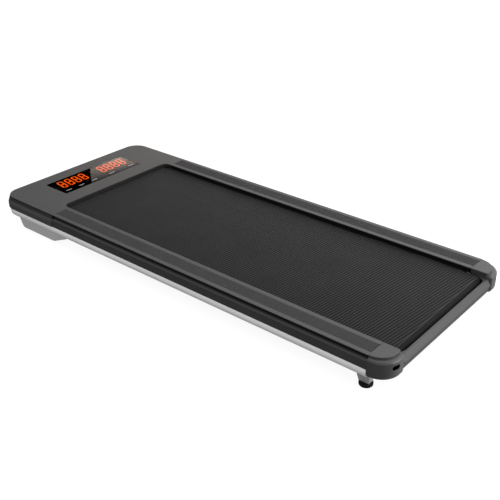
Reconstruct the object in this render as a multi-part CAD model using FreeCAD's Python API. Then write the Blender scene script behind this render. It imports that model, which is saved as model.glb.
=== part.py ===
"""Flat walking treadmill: a low deck between two foot rails, with the motor bay under a front hood.

Millimetres. +Z is up. The walker faces -X, where the display and the motor are, so the walker's
left side is -Y. The origin is the centre of the footprint, at floor level.
"""
import FreeCAD, Part
import math
import os
from FreeCAD import Vector

# ---- whole machine ----
LENGTH = 1310.0
WIDTH = 540.0
HEIGHT = 90.0
FRONT = -LENGTH / 2
REAR = LENGTH / 2
SIDE = WIDTH / 2
SEAM = 0.4                      # gap where two covers meet

# ---- side rails and frame ----
RAIL_LOW = 34.0
RAIL_TOP = 55.0
RAIL_WIDTH = 29.5
RAIL_INSET = 2.5                # the rail's outermost line, in from the machine's side
RAIL_WALL = 1.5
RAIL_END = 600.0
FRONT_CORNER = 50.0
BAY_SIDE = SIDE - RAIL_INSET - RAIL_WIDTH       # inner faces of the rails, from the centre line
CROSS_CENTRES = (-430.0, -95.0, 240.0, 545.0)
CROSS_WIDTH = 30.0
CROSS_LOW = 36.5
CROSS_TOP = 54.0

# ---- walking belt, deck and rollers ----
BELT_WIDTH = 396.0
BELT_THICKNESS = 1.6
BELT_TOP = 77.5
ROLLER_RADIUS = 21.0
ROLLER_HALF = 200.0             # half the length of a drum
ROLLER_HEIGHT = BELT_TOP - BELT_THICKNESS - ROLLER_RADIUS
FRONT_ROLLER_X = -478.0
REAR_ROLLER_X = 616.0
AXLE_RADIUS = 6.0
BEARING_RADIUS = 14.0
BEARING_WIDTH = 8.0
RUNNING_GAP = 0.03              # radial clearance where one piece turns or slides in another
DECK_THICKNESS = 15.0
DECK_TOP = BELT_TOP - BELT_THICKNESS - 0.3
DECK_FRONT = -446.0
DECK_REAR = 582.0
DECK_HALF = 228.0
DECK_EDGE_RADIUS = 4.0
TENSION_TRAVEL = 10.0
BOLT_HEIGHT = 67.0              # tension bolts, above the axle
AXLE_BLOCK_HALF = 7.0           # block on each end of the rear axle, along X
AXLE_BLOCK_LOW = 47.0
AXLE_BLOCK_TOP = 73.5

# ---- foot rails: distances are in from the machine's side ----
FOOT_RAIL_FRONT = -425.0
RIM_EDGE = 6.6                  # the rim's lip, over the groove
RIM_LIP = 2.0                   # thickness of the lip
GROOVE_WALL = 9.2
INSERT_OUTER = 18.5
INSERT_INNER = 54.5
RIM_INNER = 67.0
INSERT_DEPTH = 2.0
FOOT_RAIL_SIDE = 2.0
RIM_WALL = 2.5
GROOVE_LOW = 81.5
GROOVE_TOP = HEIGHT - RIM_LIP
SIDE_TOP = 77.0                 # where the outer wall ends and the groove's lower slope begins

# ---- hood and display ----
HOOD_EDGE = -453.0              # the hood's rear edge over the belt
HOOD_WALL = 3.0
HOOD_LEAN_LOW = 70.0            # the hood's wall leans in from here up to its groove
HOOD_LEAN_TOP = 86.0
HOOD_LEAN = 5.5
HOOD_NECK = 8.0                 # the groove's wall, in from the machine's side
NOTCH_CORNER = 20.0             # corners of the opening over the belt
LENS_FRONT = -602.0
LENS_REAR = -507.0
LENS_HALF = 147.5
LENS_THICKNESS = 2.5
LENS_CORNER = 3.0
DIGIT_HEIGHT = 42.0             # between the middles of its top and bottom bars
DIGIT_WIDTH = 14.8              # between the middles of its side bars
DIGIT_PITCH = 26.5
DIGIT_SLANT = 0.12              # how far a digit leans for each millimetre of its height
SEGMENT_WIDTH = 3.4
DIGIT_CENTRE_X = -570.0
DIGIT_GROUP_CENTRES = (-71.5, 81.5)
DISPLAY_BOARD_LOW = 78.4
MODULE_LOW = 80.0
MODULE_TOP = 86.4
MODULE_HALF = 53.0
SEGMENT_LOW = 85.8
SEGMENT_TOP = 87.0
DISPLAY_POST_Y = 137.3

# ---- end caps and rear bar ----
CAP_CORNER = 48.0
CAP_LOW = 37.0
CAP_SHOULDER = 84.5
CAP_WALL = 2.5
CAP_INNER = 67.0
CAP_ROUND = 8.0                 # at the shoulder
CAP_LOW_ROUND = 10.0
PLATE_INSET = 12.0              # top plate, in from the rear
PLATE_SIDE = 7.6                # top plate, in from the side
PLATE_CORNER = 42.0
HOLE_HALF_WIDTH = 10.5          # access hole of the tension bolt
HOLE_HALF_HEIGHT = 6.2
BAR_HALF = SIDE - CAP_INNER
BAR_LIP_X = 641.0
BAR_TOP = 76.0
BAR_LOW = 45.0
LEDGE_RADIUS = 25.0             # curved ledges at the bar's ends

# ---- belly pan ----
PAN_INSET = 7.0
PAN_LOW = 6.0
PAN_WALL = 2.5
PAN_FRONT = -587.0
PAN_REAR = -372.0
PAN_FLAT_FRONT = -571.0
PAN_FLAT_REAR = -432.0

# ---- feet and transport wheels ----
FOOT_X = 590.5
FOOT_INSET = 24.0
FOOT_RADIUS = 16.0
BRACKET_LOW = 10.0
BRACKET_WIDTH = 16.0
STUD_RADIUS = 4.0
WHEEL_X = -628.0
WHEEL_Y = 150.0
WHEEL_RADIUS = 15.0
WHEEL_WIDTH = 16.0
WHEEL_AXLE_RADIUS = 3.0
WHEEL_FLOOR_GAP = 2.0

# ---- drive ----
MOTOR_X = -545.0
MOTOR_Z = 45.0
MOTOR_RADIUS = 29.0
MOTOR_START = -188.0
MOTOR_END = -62.0
SHAFT_RADIUS = 5.0
PULLEY_START = -226.0
PULLEY_END = -212.0
ROLLER_PULLEY_RADIUS = 26.0
MOTOR_PULLEY_RADIUS = 11.0
DRIVE_BELT_THICKNESS = 2.6
TRAY_FRONT = -562.0
TRAY_REAR = -446.0
TRAY_LOW = 9.0
TRAY_SHEET = 2.0
TRAY_FLOOR = TRAY_LOW + TRAY_SHEET

# ---- controller board on the tray ----
BOARD_X0 = -570.0
BOARD_X1 = -508.0
BOARD_Y0 = 6.0
BOARD_Y1 = 146.0
BOARD_LOW = 19.0
BOARD_TOP = 20.6

# ---- service panel in the hood's front wall ----
PANEL_DEPTH = 3.0
PANEL_START = 60.0
PANEL_END = 206.0
PANEL_LOW = 58.5
PANEL_TOP = 83.5
PANEL_Z = (PANEL_LOW + PANEL_TOP) / 2
INLET_Y = 178.0
SWITCH_Y = 128.0
BREAKER_Y = 88.0
ROCKER_TILT = 8.0


# ---- shape helpers ----
def box(x0, x1, y0, y1, z0, z1):
    return Part.makeBox(x1 - x0, y1 - y0, z1 - z0, Vector(x0, y0, z0))


def rod(radius, start, axis, length):
    return Part.makeCylinder(radius, length, Vector(*start), Vector(*axis))


def pipe(outer, inner, start, axis, length):
    return rod(outer, start, axis, length).cut(rod(inner, start, axis, length))


def outline(corners, place):
    """Closed wire through (a, b, radius) corners. place turns (a, b) into a point in space."""
    edges = []
    ends = []
    count = len(corners)
    for index, (a, b, radius) in enumerate(corners):
        here = Vector(a, b, 0)
        before = Vector(corners[index - 1][0], corners[index - 1][1], 0) - here
        after = Vector(corners[(index + 1) % count][0], corners[(index + 1) % count][1], 0) - here
        before.normalize()
        after.normalize()
        if radius == 0:
            ends.append((here, here))
            continue
        half = before.getAngle(after) / 2
        reach = radius / math.tan(half)
        middle = (before + after).normalize()
        start = here + before * reach
        end = here + after * reach
        crown = here + middle * (radius / math.sin(half) - radius)
        edges.append(Part.Arc(place(start), place(crown), place(end)).toShape())
        ends.append((start, end))
    for index, (_, end) in enumerate(ends):
        start = ends[(index + 1) % count][0]
        if end.distanceToPoint(start) > 1e-6:
            edges.append(Part.makeLine(place(end), place(start)))
    return Part.Wire(Part.__sortEdges__(edges))


def plan(corners, z0, z1):
    """Solid with an outline in X and Y, standing from z0 to z1."""
    wire = outline(corners, lambda p: Vector(p.x, p.y, z0))
    return Part.Face(wire).extrude(Vector(0, 0, z1 - z0))


def along_x(corners, x0, x1):
    """Solid with an outline in Y and Z, drawn out along X."""
    wire = outline(corners, lambda p: Vector(x0, p.x, p.y))
    return Part.Face(wire).extrude(Vector(x1 - x0, 0, 0))


def along_y(corners, y0, y1):
    """Solid with an outline in X and Z, drawn out along Y."""
    wire = outline(corners, lambda p: Vector(p.x, y0, p.y))
    return Part.Face(wire).extrude(Vector(0, y1 - y0, 0))


def slab(x0, x1, y0, y1, z0, z1, radius):
    corners = [(x0, y0, radius), (x1, y0, radius), (x1, y1, radius), (x0, y1, radius)]
    return plan(corners, z0, z1)


def join(*shapes):
    return shapes[0].fuse(list(shapes[1:])).removeSplitter()


def cut(shape, *tools):
    return shape.cut(list(tools))


def round_edges(shape, radius, wanted):
    return shape.makeFillet(radius, [edge for edge in shape.Edges if wanted(edge)])


def flat_at(height):
    """Picks the edges that lie level at one height."""
    return lambda edge: all(abs(v.Z - height) < 1e-4 for v in edge.Vertexes)


def mirrored(shape):
    return shape.mirror(Vector(0, 0, 0), Vector(0, 1, 0))


def both_sides(shape):
    return [shape, mirrored(shape)]


def save(name, *shapes):
    solids = [solid for shape in shapes for solid in shape.Solids]
    whole = solids[0] if len(solids) == 1 else Part.makeCompound(solids)
    whole.exportStep("parts/" + name + ".step")


# ---- frame ----
def rail_section(shrink):
    """The rail's section as (distance in from the side, height), with a soft ridge half way up."""
    top_lean = 2.0
    low_lean = 2.5
    ridge = 44.5
    inner = RAIL_INSET + RAIL_WIDTH
    return [
        (RAIL_INSET + top_lean + shrink, RAIL_TOP - shrink, 2.0),
        (RAIL_INSET + shrink, ridge, 6.0),
        (RAIL_INSET + low_lean + shrink, RAIL_LOW + shrink, 3.0),
        (inner - shrink, RAIL_LOW + shrink, 2.0),
        (inner - shrink, RAIL_TOP - shrink, 2.0),
    ]


def left_rail_corners(shrink):
    return [(inset - SIDE, z, radius) for inset, z, radius in rail_section(shrink)]


def rail_bend(shrink):
    """The rail's left front corner, a quarter turn."""
    bend_x = FRONT + FRONT_CORNER
    wire = outline(left_rail_corners(shrink), lambda p: Vector(bend_x, p.x, p.y))
    pivot = Vector(bend_x, FRONT_CORNER - SIDE, 0)
    return Part.Face(wire).revolve(pivot, Vector(0, 0, -1), 90)


def pan_screw_places():
    return [(x, side * (SIDE - 20.0)) for side in (-1, 1) for x in (-556.0, -500.0, -444.0)]


def side_rail():
    """Left side rail, a straight tube from the front corner to the end cap."""
    shells = [along_x(left_rail_corners(shrink), FRONT + FRONT_CORNER, RAIL_END)
              for shrink in (0, RAIL_WALL)]
    pilots = [rod(2.0, (x, y, RAIL_LOW - 1), (0, 0, 1), 4) for x, y in pan_screw_places() if y < 0]
    return cut(*shells, *pilots)


def front_rail():
    """Front rail with both bent corners, which meet the side rails."""
    half = SIDE - FRONT_CORNER
    shells = []
    for shrink in (0, RAIL_WALL):
        corners = [(FRONT + inset, z, radius) for inset, z, radius in rail_section(shrink)]
        shells.append(join(along_y(corners, -half, half), *both_sides(rail_bend(shrink))))
    return cut(*shells)


def cross_member(x):
    half = CROSS_WIDTH / 2
    outer = [(x - half, CROSS_LOW, 2.5), (x + half, CROSS_LOW, 2.5),
             (x + half, CROSS_TOP, 2.5), (x - half, CROSS_TOP, 2.5)]
    wall = RAIL_WALL
    inner = [(x - half + wall, CROSS_LOW + wall, 1.0), (x + half - wall, CROSS_LOW + wall, 1.0),
             (x + half - wall, CROSS_TOP - wall, 1.0), (x - half + wall, CROSS_TOP - wall, 1.0)]
    return cut(along_y(outer, -BAY_SIDE, BAY_SIDE), along_y(inner, -BAY_SIDE, BAY_SIDE))


def foot_bracket():
    """Left rear bracket: a closed pocket under the rail, with the foot's nut in its floor."""
    y0 = -SIDE + FOOT_INSET - BRACKET_WIDTH / 2
    y1 = y0 + BRACKET_WIDTH
    sheet = 2.5
    outer = [(567.0, RAIL_LOW, 0), (576.5, BRACKET_LOW, 1.5), (602.5, BRACKET_LOW, 1.5),
             (602.5, RAIL_LOW, 0)]
    inner = [(570.5, RAIL_LOW, 0), (578.5, BRACKET_LOW + 6, 0), (600.0, BRACKET_LOW + 6, 0),
             (600.0, RAIL_LOW, 0)]
    body = along_y(outer, y0, y1)
    pocket = along_y(inner, y0 + sheet, y1 - sheet)
    hole = rod(STUD_RADIUS + RUNNING_GAP, (FOOT_X, -SIDE + FOOT_INSET, 0), (0, 0, 1), RAIL_LOW)
    return cut(body, pocket, hole)


def wheel_bracket_tabs():
    """Two tabs under the front rail that carry the left wheel's axle."""
    axle_z = WHEEL_FLOOR_GAP + WHEEL_RADIUS
    tabs = []
    for side in (-1, 1):
        y = -WHEEL_Y + side * (WHEEL_WIDTH / 2 + 1.5)
        corners = [(WHEEL_X - 11, RAIL_LOW, 0), (WHEEL_X - 7, axle_z - 7, 6), (WHEEL_X + 7, axle_z - 7, 6),
                   (WHEEL_X + 5, RAIL_LOW, 0)]
        tab = along_y(corners, y - 1, y + 1)
        hole = rod(WHEEL_AXLE_RADIUS, (WHEEL_X, y - 2, axle_z), (0, 1, 0), 4)
        tabs.append(cut(tab, hole))
    return tabs


def front_axle_block():
    corners = [(FRONT_ROLLER_X - 15, 38.0, 2), (FRONT_ROLLER_X + 15, 38.0, 2),
               (FRONT_ROLLER_X + 15, 66.0, 9), (FRONT_ROLLER_X - 15, 66.0, 9)]
    return along_y(corners, -BAY_SIDE, -BAY_SIDE + 8)


def front_axle_mount():
    """Left block on the rail's inner face that holds the front axle's end."""
    return cut(front_axle_block(), axle_rod(FRONT_ROLLER_X))


def tension_bracket():
    """Left rear bracket: a window that guides the axle's end block, and an end wall behind the bolt."""
    y0 = -BAY_SIDE
    y1 = -BAY_SIDE + 10.0
    plate = box(591.0, 636.0, y0, y1, 40.0, AXLE_BLOCK_TOP + 6.0)
    front = REAR_ROLLER_X - TENSION_TRAVEL - AXLE_BLOCK_HALF - 1
    window = box(front, REAR_ROLLER_X + AXLE_BLOCK_HALF + 5.0, y0 - 1, y1 + 1,
                 AXLE_BLOCK_LOW - RUNNING_GAP, AXLE_BLOCK_TOP + RUNNING_GAP)
    bore = rod(4.2, (590.0, tension_bolt_y(), BOLT_HEIGHT), (1, 0, 0), 60)
    return cut(plate, window, bore)


def tension_bolt_y():
    return -BAY_SIDE + 5.0


# ---- deck ----
def deck_screw_places():
    return [(x, side * 218.0) for side in (-1, 1) for x in CROSS_CENTRES]


def deck_screw_blank(x, y, low):
    """Countersunk head and shank, ending flush with the deck's top."""
    head = Part.makeCone(2.5, 5.0, 3.0, Vector(x, y, DECK_TOP - 3.0), Vector(0, 0, 1))
    return join(head, rod(2.5, (x, y, low), (0, 0, 1), DECK_TOP - 3.0 - low))


def deck_board():
    low = DECK_TOP - DECK_THICKNESS
    section = [(DECK_FRONT, low, 0), (DECK_FRONT, DECK_TOP, DECK_EDGE_RADIUS),
               (DECK_REAR, DECK_TOP, DECK_EDGE_RADIUS), (DECK_REAR, low, 0)]
    board = along_y(section, -DECK_HALF, DECK_HALF)
    return cut(board, *[deck_screw_blank(x, y, low - 5) for x, y in deck_screw_places()])


def deck_cushion(x, y):
    low = CROSS_TOP
    high = DECK_TOP - DECK_THICKNESS
    pad = round_edges(rod(9.0, (x, y, low), (0, 0, 1), high - low), 1.2, flat_at(high))
    return cut(pad, rod(2.5, (x, y, low - 1), (0, 0, 1), 20))


def deck_screw(x, y):
    return cut(deck_screw_blank(x, y, CROSS_TOP), rod(1.6, (x, y, DECK_TOP - 1.8), (0, 0, 1), 3))


def loop(x1, z1, r1, x2, z2, r2, y0, y1):
    """Solid whose section is a taut loop round two circles."""
    span = Vector(x2 - x1, z2 - z1, 0)
    distance = span.Length
    along = math.atan2(span.y, span.x)
    lean = math.acos((r1 - r2) / distance)
    corners = []
    for x, z, r, turn in ((x1, z1, r1, lean), (x2, z2, r2, lean), (x2, z2, r2, -lean), (x1, z1, r1, -lean)):
        corners.append((x + r * math.cos(along + turn), z + r * math.sin(along + turn), 0))
    middle = along_y(corners, y0, y1)
    ends = [rod(r, (x, y0, z), (0, 1, 0), y1 - y0) for x, z, r in ((x1, z1, r1), (x2, z2, r2))]
    return join(middle, *ends)


def walking_belt():
    half = BELT_WIDTH / 2
    inner = ROLLER_RADIUS + 0.02
    outer = ROLLER_RADIUS + BELT_THICKNESS
    sizes = [loop(FRONT_ROLLER_X, ROLLER_HEIGHT, r, REAR_ROLLER_X, ROLLER_HEIGHT, r, -half, half)
             for r in (outer, inner)]
    return cut(*sizes)


# ---- rollers ----
def axle_rod(x):
    return rod(AXLE_RADIUS, (x, -BAY_SIDE, ROLLER_HEIGHT), (0, 1, 0), 2 * BAY_SIDE)


def roller(x):
    """Drum tube with a plug in each end, and a seat for a bearing in each plug."""
    start = (x, -ROLLER_HALF, ROLLER_HEIGHT)
    drum = rod(ROLLER_RADIUS, start, (0, 1, 0), 2 * ROLLER_HALF)
    hollow = rod(ROLLER_RADIUS - 2.5, (x, -ROLLER_HALF + 18, ROLLER_HEIGHT), (0, 1, 0), 2 * ROLLER_HALF - 36)
    clear = rod(AXLE_RADIUS + 2.0, start, (0, 1, 0), 2 * ROLLER_HALF)
    seats = [rod(BEARING_RADIUS, (x, side * ROLLER_HALF, ROLLER_HEIGHT), (0, -side, 0), BEARING_WIDTH + 2)
             for side in (-1, 1)]
    return cut(drum, hollow, clear, *seats)


def roller_bearings(x):
    rings = []
    for side in (-1, 1):
        start = (x, side * (ROLLER_HALF - 2), ROLLER_HEIGHT)
        ring = pipe(BEARING_RADIUS, AXLE_RADIUS + RUNNING_GAP, start, (0, -side, 0), BEARING_WIDTH)
        groove = pipe(11.5, 8.5, start, (0, -side, 0), 0.6)
        rings.append(cut(ring, groove))
    return rings


def ribbed_pulley(x, z, radius, bore, hub_end, hub_radius):
    """Pulley with a rim for a ribbed belt, and a hub that reaches towards the centre of the machine."""
    rim = rod(radius, (x, PULLEY_START, z), (0, 1, 0), PULLEY_END - PULLEY_START)
    for index in range(5):
        y = PULLEY_START + 3.0 + index * 2.0
        rim = cut(rim, pipe(radius + 1, radius - 1.0, (x, y - 0.5, z), (0, 1, 0), 1.0))
    hub = rod(hub_radius, (x, PULLEY_END, z), (0, 1, 0), hub_end - PULLEY_END)
    return cut(join(rim, hub), rod(bore, (x, PULLEY_START - 1, z), (0, 1, 0), 60))


def front_axle():
    return axle_rod(FRONT_ROLLER_X)


def rear_axle():
    """Axle with a block on each end. A tension bolt goes through each block, above the axle."""
    half = BAY_SIDE - 0.6
    shaft = rod(AXLE_RADIUS, (REAR_ROLLER_X, -half, ROLLER_HEIGHT), (0, 1, 0), 2 * half)
    block = box(REAR_ROLLER_X - AXLE_BLOCK_HALF, REAR_ROLLER_X + AXLE_BLOCK_HALF, -half, -half + 9.0,
                AXLE_BLOCK_LOW, AXLE_BLOCK_TOP)
    holes = [rod(3.0 + RUNNING_GAP, (REAR_ROLLER_X - 20, y, BOLT_HEIGHT), (1, 0, 0), 40)
             for y in (tension_bolt_y(), -tension_bolt_y())]
    return cut(join(shaft, *both_sides(block)), *holes)


def tension_bolt():
    """Left tension bolt: hex socket head at the rear, collar at the bracket, thread through the block."""
    y = tension_bolt_y()
    z = BOLT_HEIGHT
    head_start = 636.3
    head_end = 643.0
    head = rod(5.5, (head_start, y, z), (1, 0, 0), head_end - head_start)
    head = round_edges(head, 0.8, lambda edge: abs(edge.BoundBox.XMin - head_end) < 1e-4)
    shank = rod(3.0, (597.0, y, z), (1, 0, 0), 639.0 - 597.0)
    hexagon = [(y + 3.4 * math.cos(math.radians(60 * k)), z + 3.4 * math.sin(math.radians(60 * k)), 0)
               for k in range(6)]
    socket = along_x(hexagon, head_end - 5.0, head_end + 1)
    return cut(join(head, shank), socket)


# ---- foot rails ----
def left_profile(points):
    return [(inset - SIDE, z, radius) for inset, z, radius in points]


def foot_rail():
    """Left foot rail: an open extrusion with a rim, a recess for the insert and a foot on the frame rail."""
    wall = RIM_WALL
    recess = HEIGHT - INSERT_DEPTH
    under = recess - wall
    points = [
        (FOOT_RAIL_SIDE, RAIL_TOP, 0), (FOOT_RAIL_SIDE, SIDE_TOP, 3.0), (GROOVE_WALL, GROOVE_LOW, 1.0),
        (GROOVE_WALL, GROOVE_TOP, 0), (RIM_EDGE, GROOVE_TOP, 0.4), (RIM_EDGE, HEIGHT, 1.2),
        (INSERT_OUTER, HEIGHT, 0.5), (INSERT_OUTER, recess, 0), (INSERT_INNER, recess, 0),
        (INSERT_INNER, HEIGHT, 0.5), (RIM_INNER, HEIGHT, 1.2), (RIM_INNER, BELT_TOP + 1.0, 0.8),
        (RIM_INNER - wall, BELT_TOP + 1.0, 0.8), (RIM_INNER - wall, under, 0), (31.0, under, 0),
        (31.0, RAIL_TOP, 0), (28.5, RAIL_TOP, 0), (28.5, under, 0), (GROOVE_WALL + wall, under, 0),
        (GROOVE_WALL + wall, GROOVE_LOW - wall, 0), (FOOT_RAIL_SIDE + wall, SIDE_TOP - wall, 0),
        (FOOT_RAIL_SIDE + wall, RAIL_TOP, 0),
    ]
    return along_x(left_profile(points), FOOT_RAIL_FRONT + SEAM, RAIL_END)


def foot_rail_insert():
    """Left rubber strip in the recess, with low ribs along it."""
    x0 = FOOT_RAIL_FRONT + 2.0
    x1 = RAIL_END - 3.5
    low = HEIGHT - INSERT_DEPTH
    strip = box(x0, x1, INSERT_OUTER - SIDE + 0.1, INSERT_INNER - SIDE - 0.1, low, HEIGHT - 0.4)
    ribs = [box(x0 + 1.5, x1 - 1.5, y - 0.7, y + 0.7, HEIGHT - 0.5, HEIGHT)
            for y in (INSERT_OUTER - SIDE + 3.0 + index * 3.0 for index in range(11))]
    return join(strip, *ribs)


# ---- hood ----
def hood_outline(inset, z, rear):
    radius = FRONT_CORNER - inset
    corners = [(FRONT + inset, -SIDE + inset, radius), (rear, -SIDE + inset, 0),
               (rear, SIDE - inset, 0), (FRONT + inset, SIDE - inset, radius)]
    return outline(corners, lambda p: Vector(p.x, p.y, z))


def hood_plan(inset, z0, z1, rear):
    return Part.Face(hood_outline(inset, z0, rear)).extrude(Vector(0, 0, z1 - z0))


def hood_lean(inset, rear):
    """The part of the hood whose wall leans in, up to the groove."""
    low = hood_outline(inset, HOOD_LEAN_LOW, rear)
    high = hood_outline(inset + HOOD_LEAN, HOOD_LEAN_TOP, rear)
    return Part.makeLoft([low, high], True, True)


def belt_notch(margin, z0, z1):
    """The opening over the belt at the hood's rear edge."""
    half = SIDE - RIM_INNER + margin
    front = HOOD_EDGE - margin
    corners = [(front, -half, NOTCH_CORNER), (front, half, NOTCH_CORNER), (FOOT_RAIL_FRONT + 5, half, 0),
               (FOOT_RAIL_FRONT + 5, -half, 0)]
    return plan(corners, z0, z1)


def hood_shell():
    """Wall, leaning shoulder and groove, with a lipped top plate over them, open over the belt."""
    plate = hood_plan(RIM_EDGE, GROOVE_TOP, HEIGHT, FOOT_RAIL_FRONT)
    plate = round_edges(plate, 1.2, lambda edge: flat_at(HEIGHT)(edge)
                        and edge.BoundBox.XMin < FOOT_RAIL_FRONT - 1)
    outer = join(hood_plan(0, RAIL_TOP, HOOD_LEAN_LOW, FOOT_RAIL_FRONT), hood_lean(0, FOOT_RAIL_FRONT),
                 hood_plan(HOOD_NECK, HOOD_LEAN_TOP - 1, GROOVE_TOP, FOOT_RAIL_FRONT), plate)
    lip_low = BELT_TOP + 1.5
    past = FOOT_RAIL_FRONT + 5
    hollow = join(hood_plan(HOOD_WALL, RAIL_TOP - 1, HOOD_LEAN_LOW, past), hood_lean(HOOD_WALL, past),
                  hood_plan(HOOD_WALL + HOOD_LEAN + 2.5, HOOD_LEAN_TOP - 1, HEIGHT - HOOD_WALL - 0.5, past))
    lip = cut(belt_notch(HOOD_WALL, lip_low, HEIGHT - 1), belt_notch(0, lip_low - 1, HEIGHT))
    lip = lip.common(box(FRONT, FOOT_RAIL_FRONT, -SIDE, SIDE, 0, HEIGHT))
    ledge = slab(LENS_FRONT - 4, LENS_REAR + 4, -LENS_HALF - 4, LENS_HALF + 4, HEIGHT - 6, HEIGHT - 2,
                 LENS_CORNER + 4)
    panel = box(FRONT + PANEL_DEPTH, FRONT + 2 * PANEL_DEPTH, PANEL_START - 3, PANEL_END + 3, RAIL_TOP,
                HEIGHT - 3)
    shell = join(cut(outer, hollow), lip, ledge, panel)
    seat = slab(LENS_FRONT, LENS_REAR, -LENS_HALF, LENS_HALF, HEIGHT - LENS_THICKNESS - 0.2, HEIGHT + 1,
                LENS_CORNER)
    window = slab(LENS_FRONT + 4, LENS_REAR - 4, -LENS_HALF + 4, LENS_HALF - 4, HEIGHT - 10, HEIGHT + 1, 2.0)
    recess = box(FRONT - 1, FRONT + PANEL_DEPTH, PANEL_START, PANEL_END, PANEL_LOW, PANEL_TOP)
    return cut(shell, belt_notch(0, 0, HEIGHT + 1), seat, window, recess, *panel_cutouts())


def panel_cutouts():
    """Holes in the service panel for the inlet, the power switch and the circuit breaker."""
    x0 = FRONT
    x1 = FRONT + 12
    return [
        box(x0, x1, INLET_Y - 13.5, INLET_Y + 13.5, PANEL_Z - 9.7, PANEL_Z + 9.7),
        box(x0, x1, SWITCH_Y - 9.5, SWITCH_Y + 9.5, PANEL_Z - 9.5, PANEL_Z + 9.5),
        rod(5.5, (x0, BREAKER_Y, PANEL_Z), (1, 0, 0), 12),
    ]


# ---- display ----
def display_lens():
    gap = 0.2
    return slab(LENS_FRONT + gap, LENS_REAR - gap, -LENS_HALF + gap, LENS_HALF - gap,
                HEIGHT - LENS_THICKNESS - 0.2, HEIGHT - 0.1, LENS_CORNER)


def display_board():
    """Circuit board under the lens, on four posts, with a small receiver for the remote."""
    board = slab(LENS_FRONT + 8, LENS_REAR - 8, -140.0, 140.0, DISPLAY_BOARD_LOW, MODULE_LOW, 2.0)
    posts = [rod(2.5, (x, y, MODULE_LOW), (0, 0, 1), 4.0)
             for x in (LENS_FRONT + 12, LENS_REAR - 12) for y in (-DISPLAY_POST_Y, DISPLAY_POST_Y)]
    receiver = box(-530.0, -522.0, -3.0, 3.0, MODULE_LOW, 85.0)
    return [board, receiver] + posts


def led_module(centre):
    """Block of four digits with a pocket for each lit bar."""
    body = box(DIGIT_CENTRE_X - 24, DIGIT_CENTRE_X + 24, centre - MODULE_HALF, centre + MODULE_HALF,
               MODULE_LOW, MODULE_TOP)
    return cut(body, *segment_bars(centre, SEGMENT_LOW, MODULE_TOP + 1))


def bar(x, y, length, across, z0, z1):
    """One segment: a bar with pointed ends, across the digit (along Y) or up it (along X)."""
    tip = SEGMENT_WIDTH / 2
    reach = length / 2
    shape = [(-reach, 0), (-reach + tip, tip), (reach - tip, tip), (reach, 0), (reach - tip, -tip),
             (-reach + tip, -tip)]
    places = [(x + b, y + a) if across else (x + a, y + b) for a, b in shape]
    return plan([(u, v - DIGIT_SLANT * (u - DIGIT_CENTRE_X), 0) for u, v in places], z0, z1)


def segment_bars(centre, z0, z1):
    """The seven bars of each of a group's four digits. The digits' tops point to -X."""
    bars = []
    for index in range(4):
        y = centre + (index - 1.5) * DIGIT_PITCH
        half_height = DIGIT_HEIGHT / 2
        half_width = DIGIT_WIDTH / 2
        for step in (-1, 0, 1):
            bars.append(bar(DIGIT_CENTRE_X + step * half_height, y, DIGIT_WIDTH - 1.0, True, z0, z1))
        for side in (-1, 1):
            for half in (-0.5, 0.5):
                bars.append(bar(DIGIT_CENTRE_X + half * half_height, y + side * half_width,
                                half_height - 1.0, False, z0, z1))
    return bars


# ---- motor bay ----
def motor_tray():
    """Folded steel floor of the motor bay, hung between the side rails."""
    floor = box(TRAY_FRONT, TRAY_REAR, -BAY_SIDE, BAY_SIDE, TRAY_LOW, TRAY_FLOOR)
    left = box(TRAY_FRONT, TRAY_REAR, -BAY_SIDE, -BAY_SIDE + TRAY_SHEET, TRAY_LOW, RAIL_TOP - 3)
    for mount in both_sides(front_axle_block()):
        left = cut(left, mount)
    return join(floor, left, mirrored(left))


def motor_clamp(y):
    """Ring round the motor on a foot that is bolted to the bay's floor."""
    width = 14.0
    start = (MOTOR_X, y, MOTOR_Z)
    ring = rod(MOTOR_RADIUS + 2.5, start, (0, 1, 0), width)
    neck = box(MOTOR_X - 13, MOTOR_X + 13, y, y + width, TRAY_FLOOR, MOTOR_Z - 20)
    foot = box(MOTOR_X - 17, MOTOR_X + 24, y, y + width, TRAY_FLOOR, TRAY_FLOOR + 2.5)
    return cut(join(ring, neck, foot), rod(MOTOR_RADIUS, start, (0, 1, 0), width))


def motor_housing():
    start = (MOTOR_X, MOTOR_START, MOTOR_Z)
    length = MOTOR_END - MOTOR_START
    can = rod(MOTOR_RADIUS, start, (0, 1, 0), length)
    can = round_edges(can, 2.0, lambda edge: len(edge.Vertexes) == 1)
    inside = rod(MOTOR_RADIUS - 3.0, (MOTOR_X, MOTOR_START + 8, MOTOR_Z), (0, 1, 0), length - 16)
    bore = rod(SHAFT_RADIUS + RUNNING_GAP, start, (0, 1, 0), length)
    slots = []
    for index in range(8):
        angle = math.radians(45 * index + 22.5)
        x = MOTOR_X + 19 * math.cos(angle)
        z = MOTOR_Z + 19 * math.sin(angle)
        slots.append(rod(3.0, (x, MOTOR_START - 1, z), (0, 1, 0), length + 2))
    return cut(can, inside, bore, *slots)


def motor_rotor():
    """Shaft with the wound core that turns inside the motor can."""
    shaft = rod(SHAFT_RADIUS, (MOTOR_X, -230.0, MOTOR_Z), (0, 1, 0), 202.0)
    core = rod(21.0, (MOTOR_X, -165.0, MOTOR_Z), (0, 1, 0), 76.0)
    commutator = rod(12.0, (MOTOR_X, -86.0, MOTOR_Z), (0, 1, 0), 12.0)
    return join(shaft, core, commutator)


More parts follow.
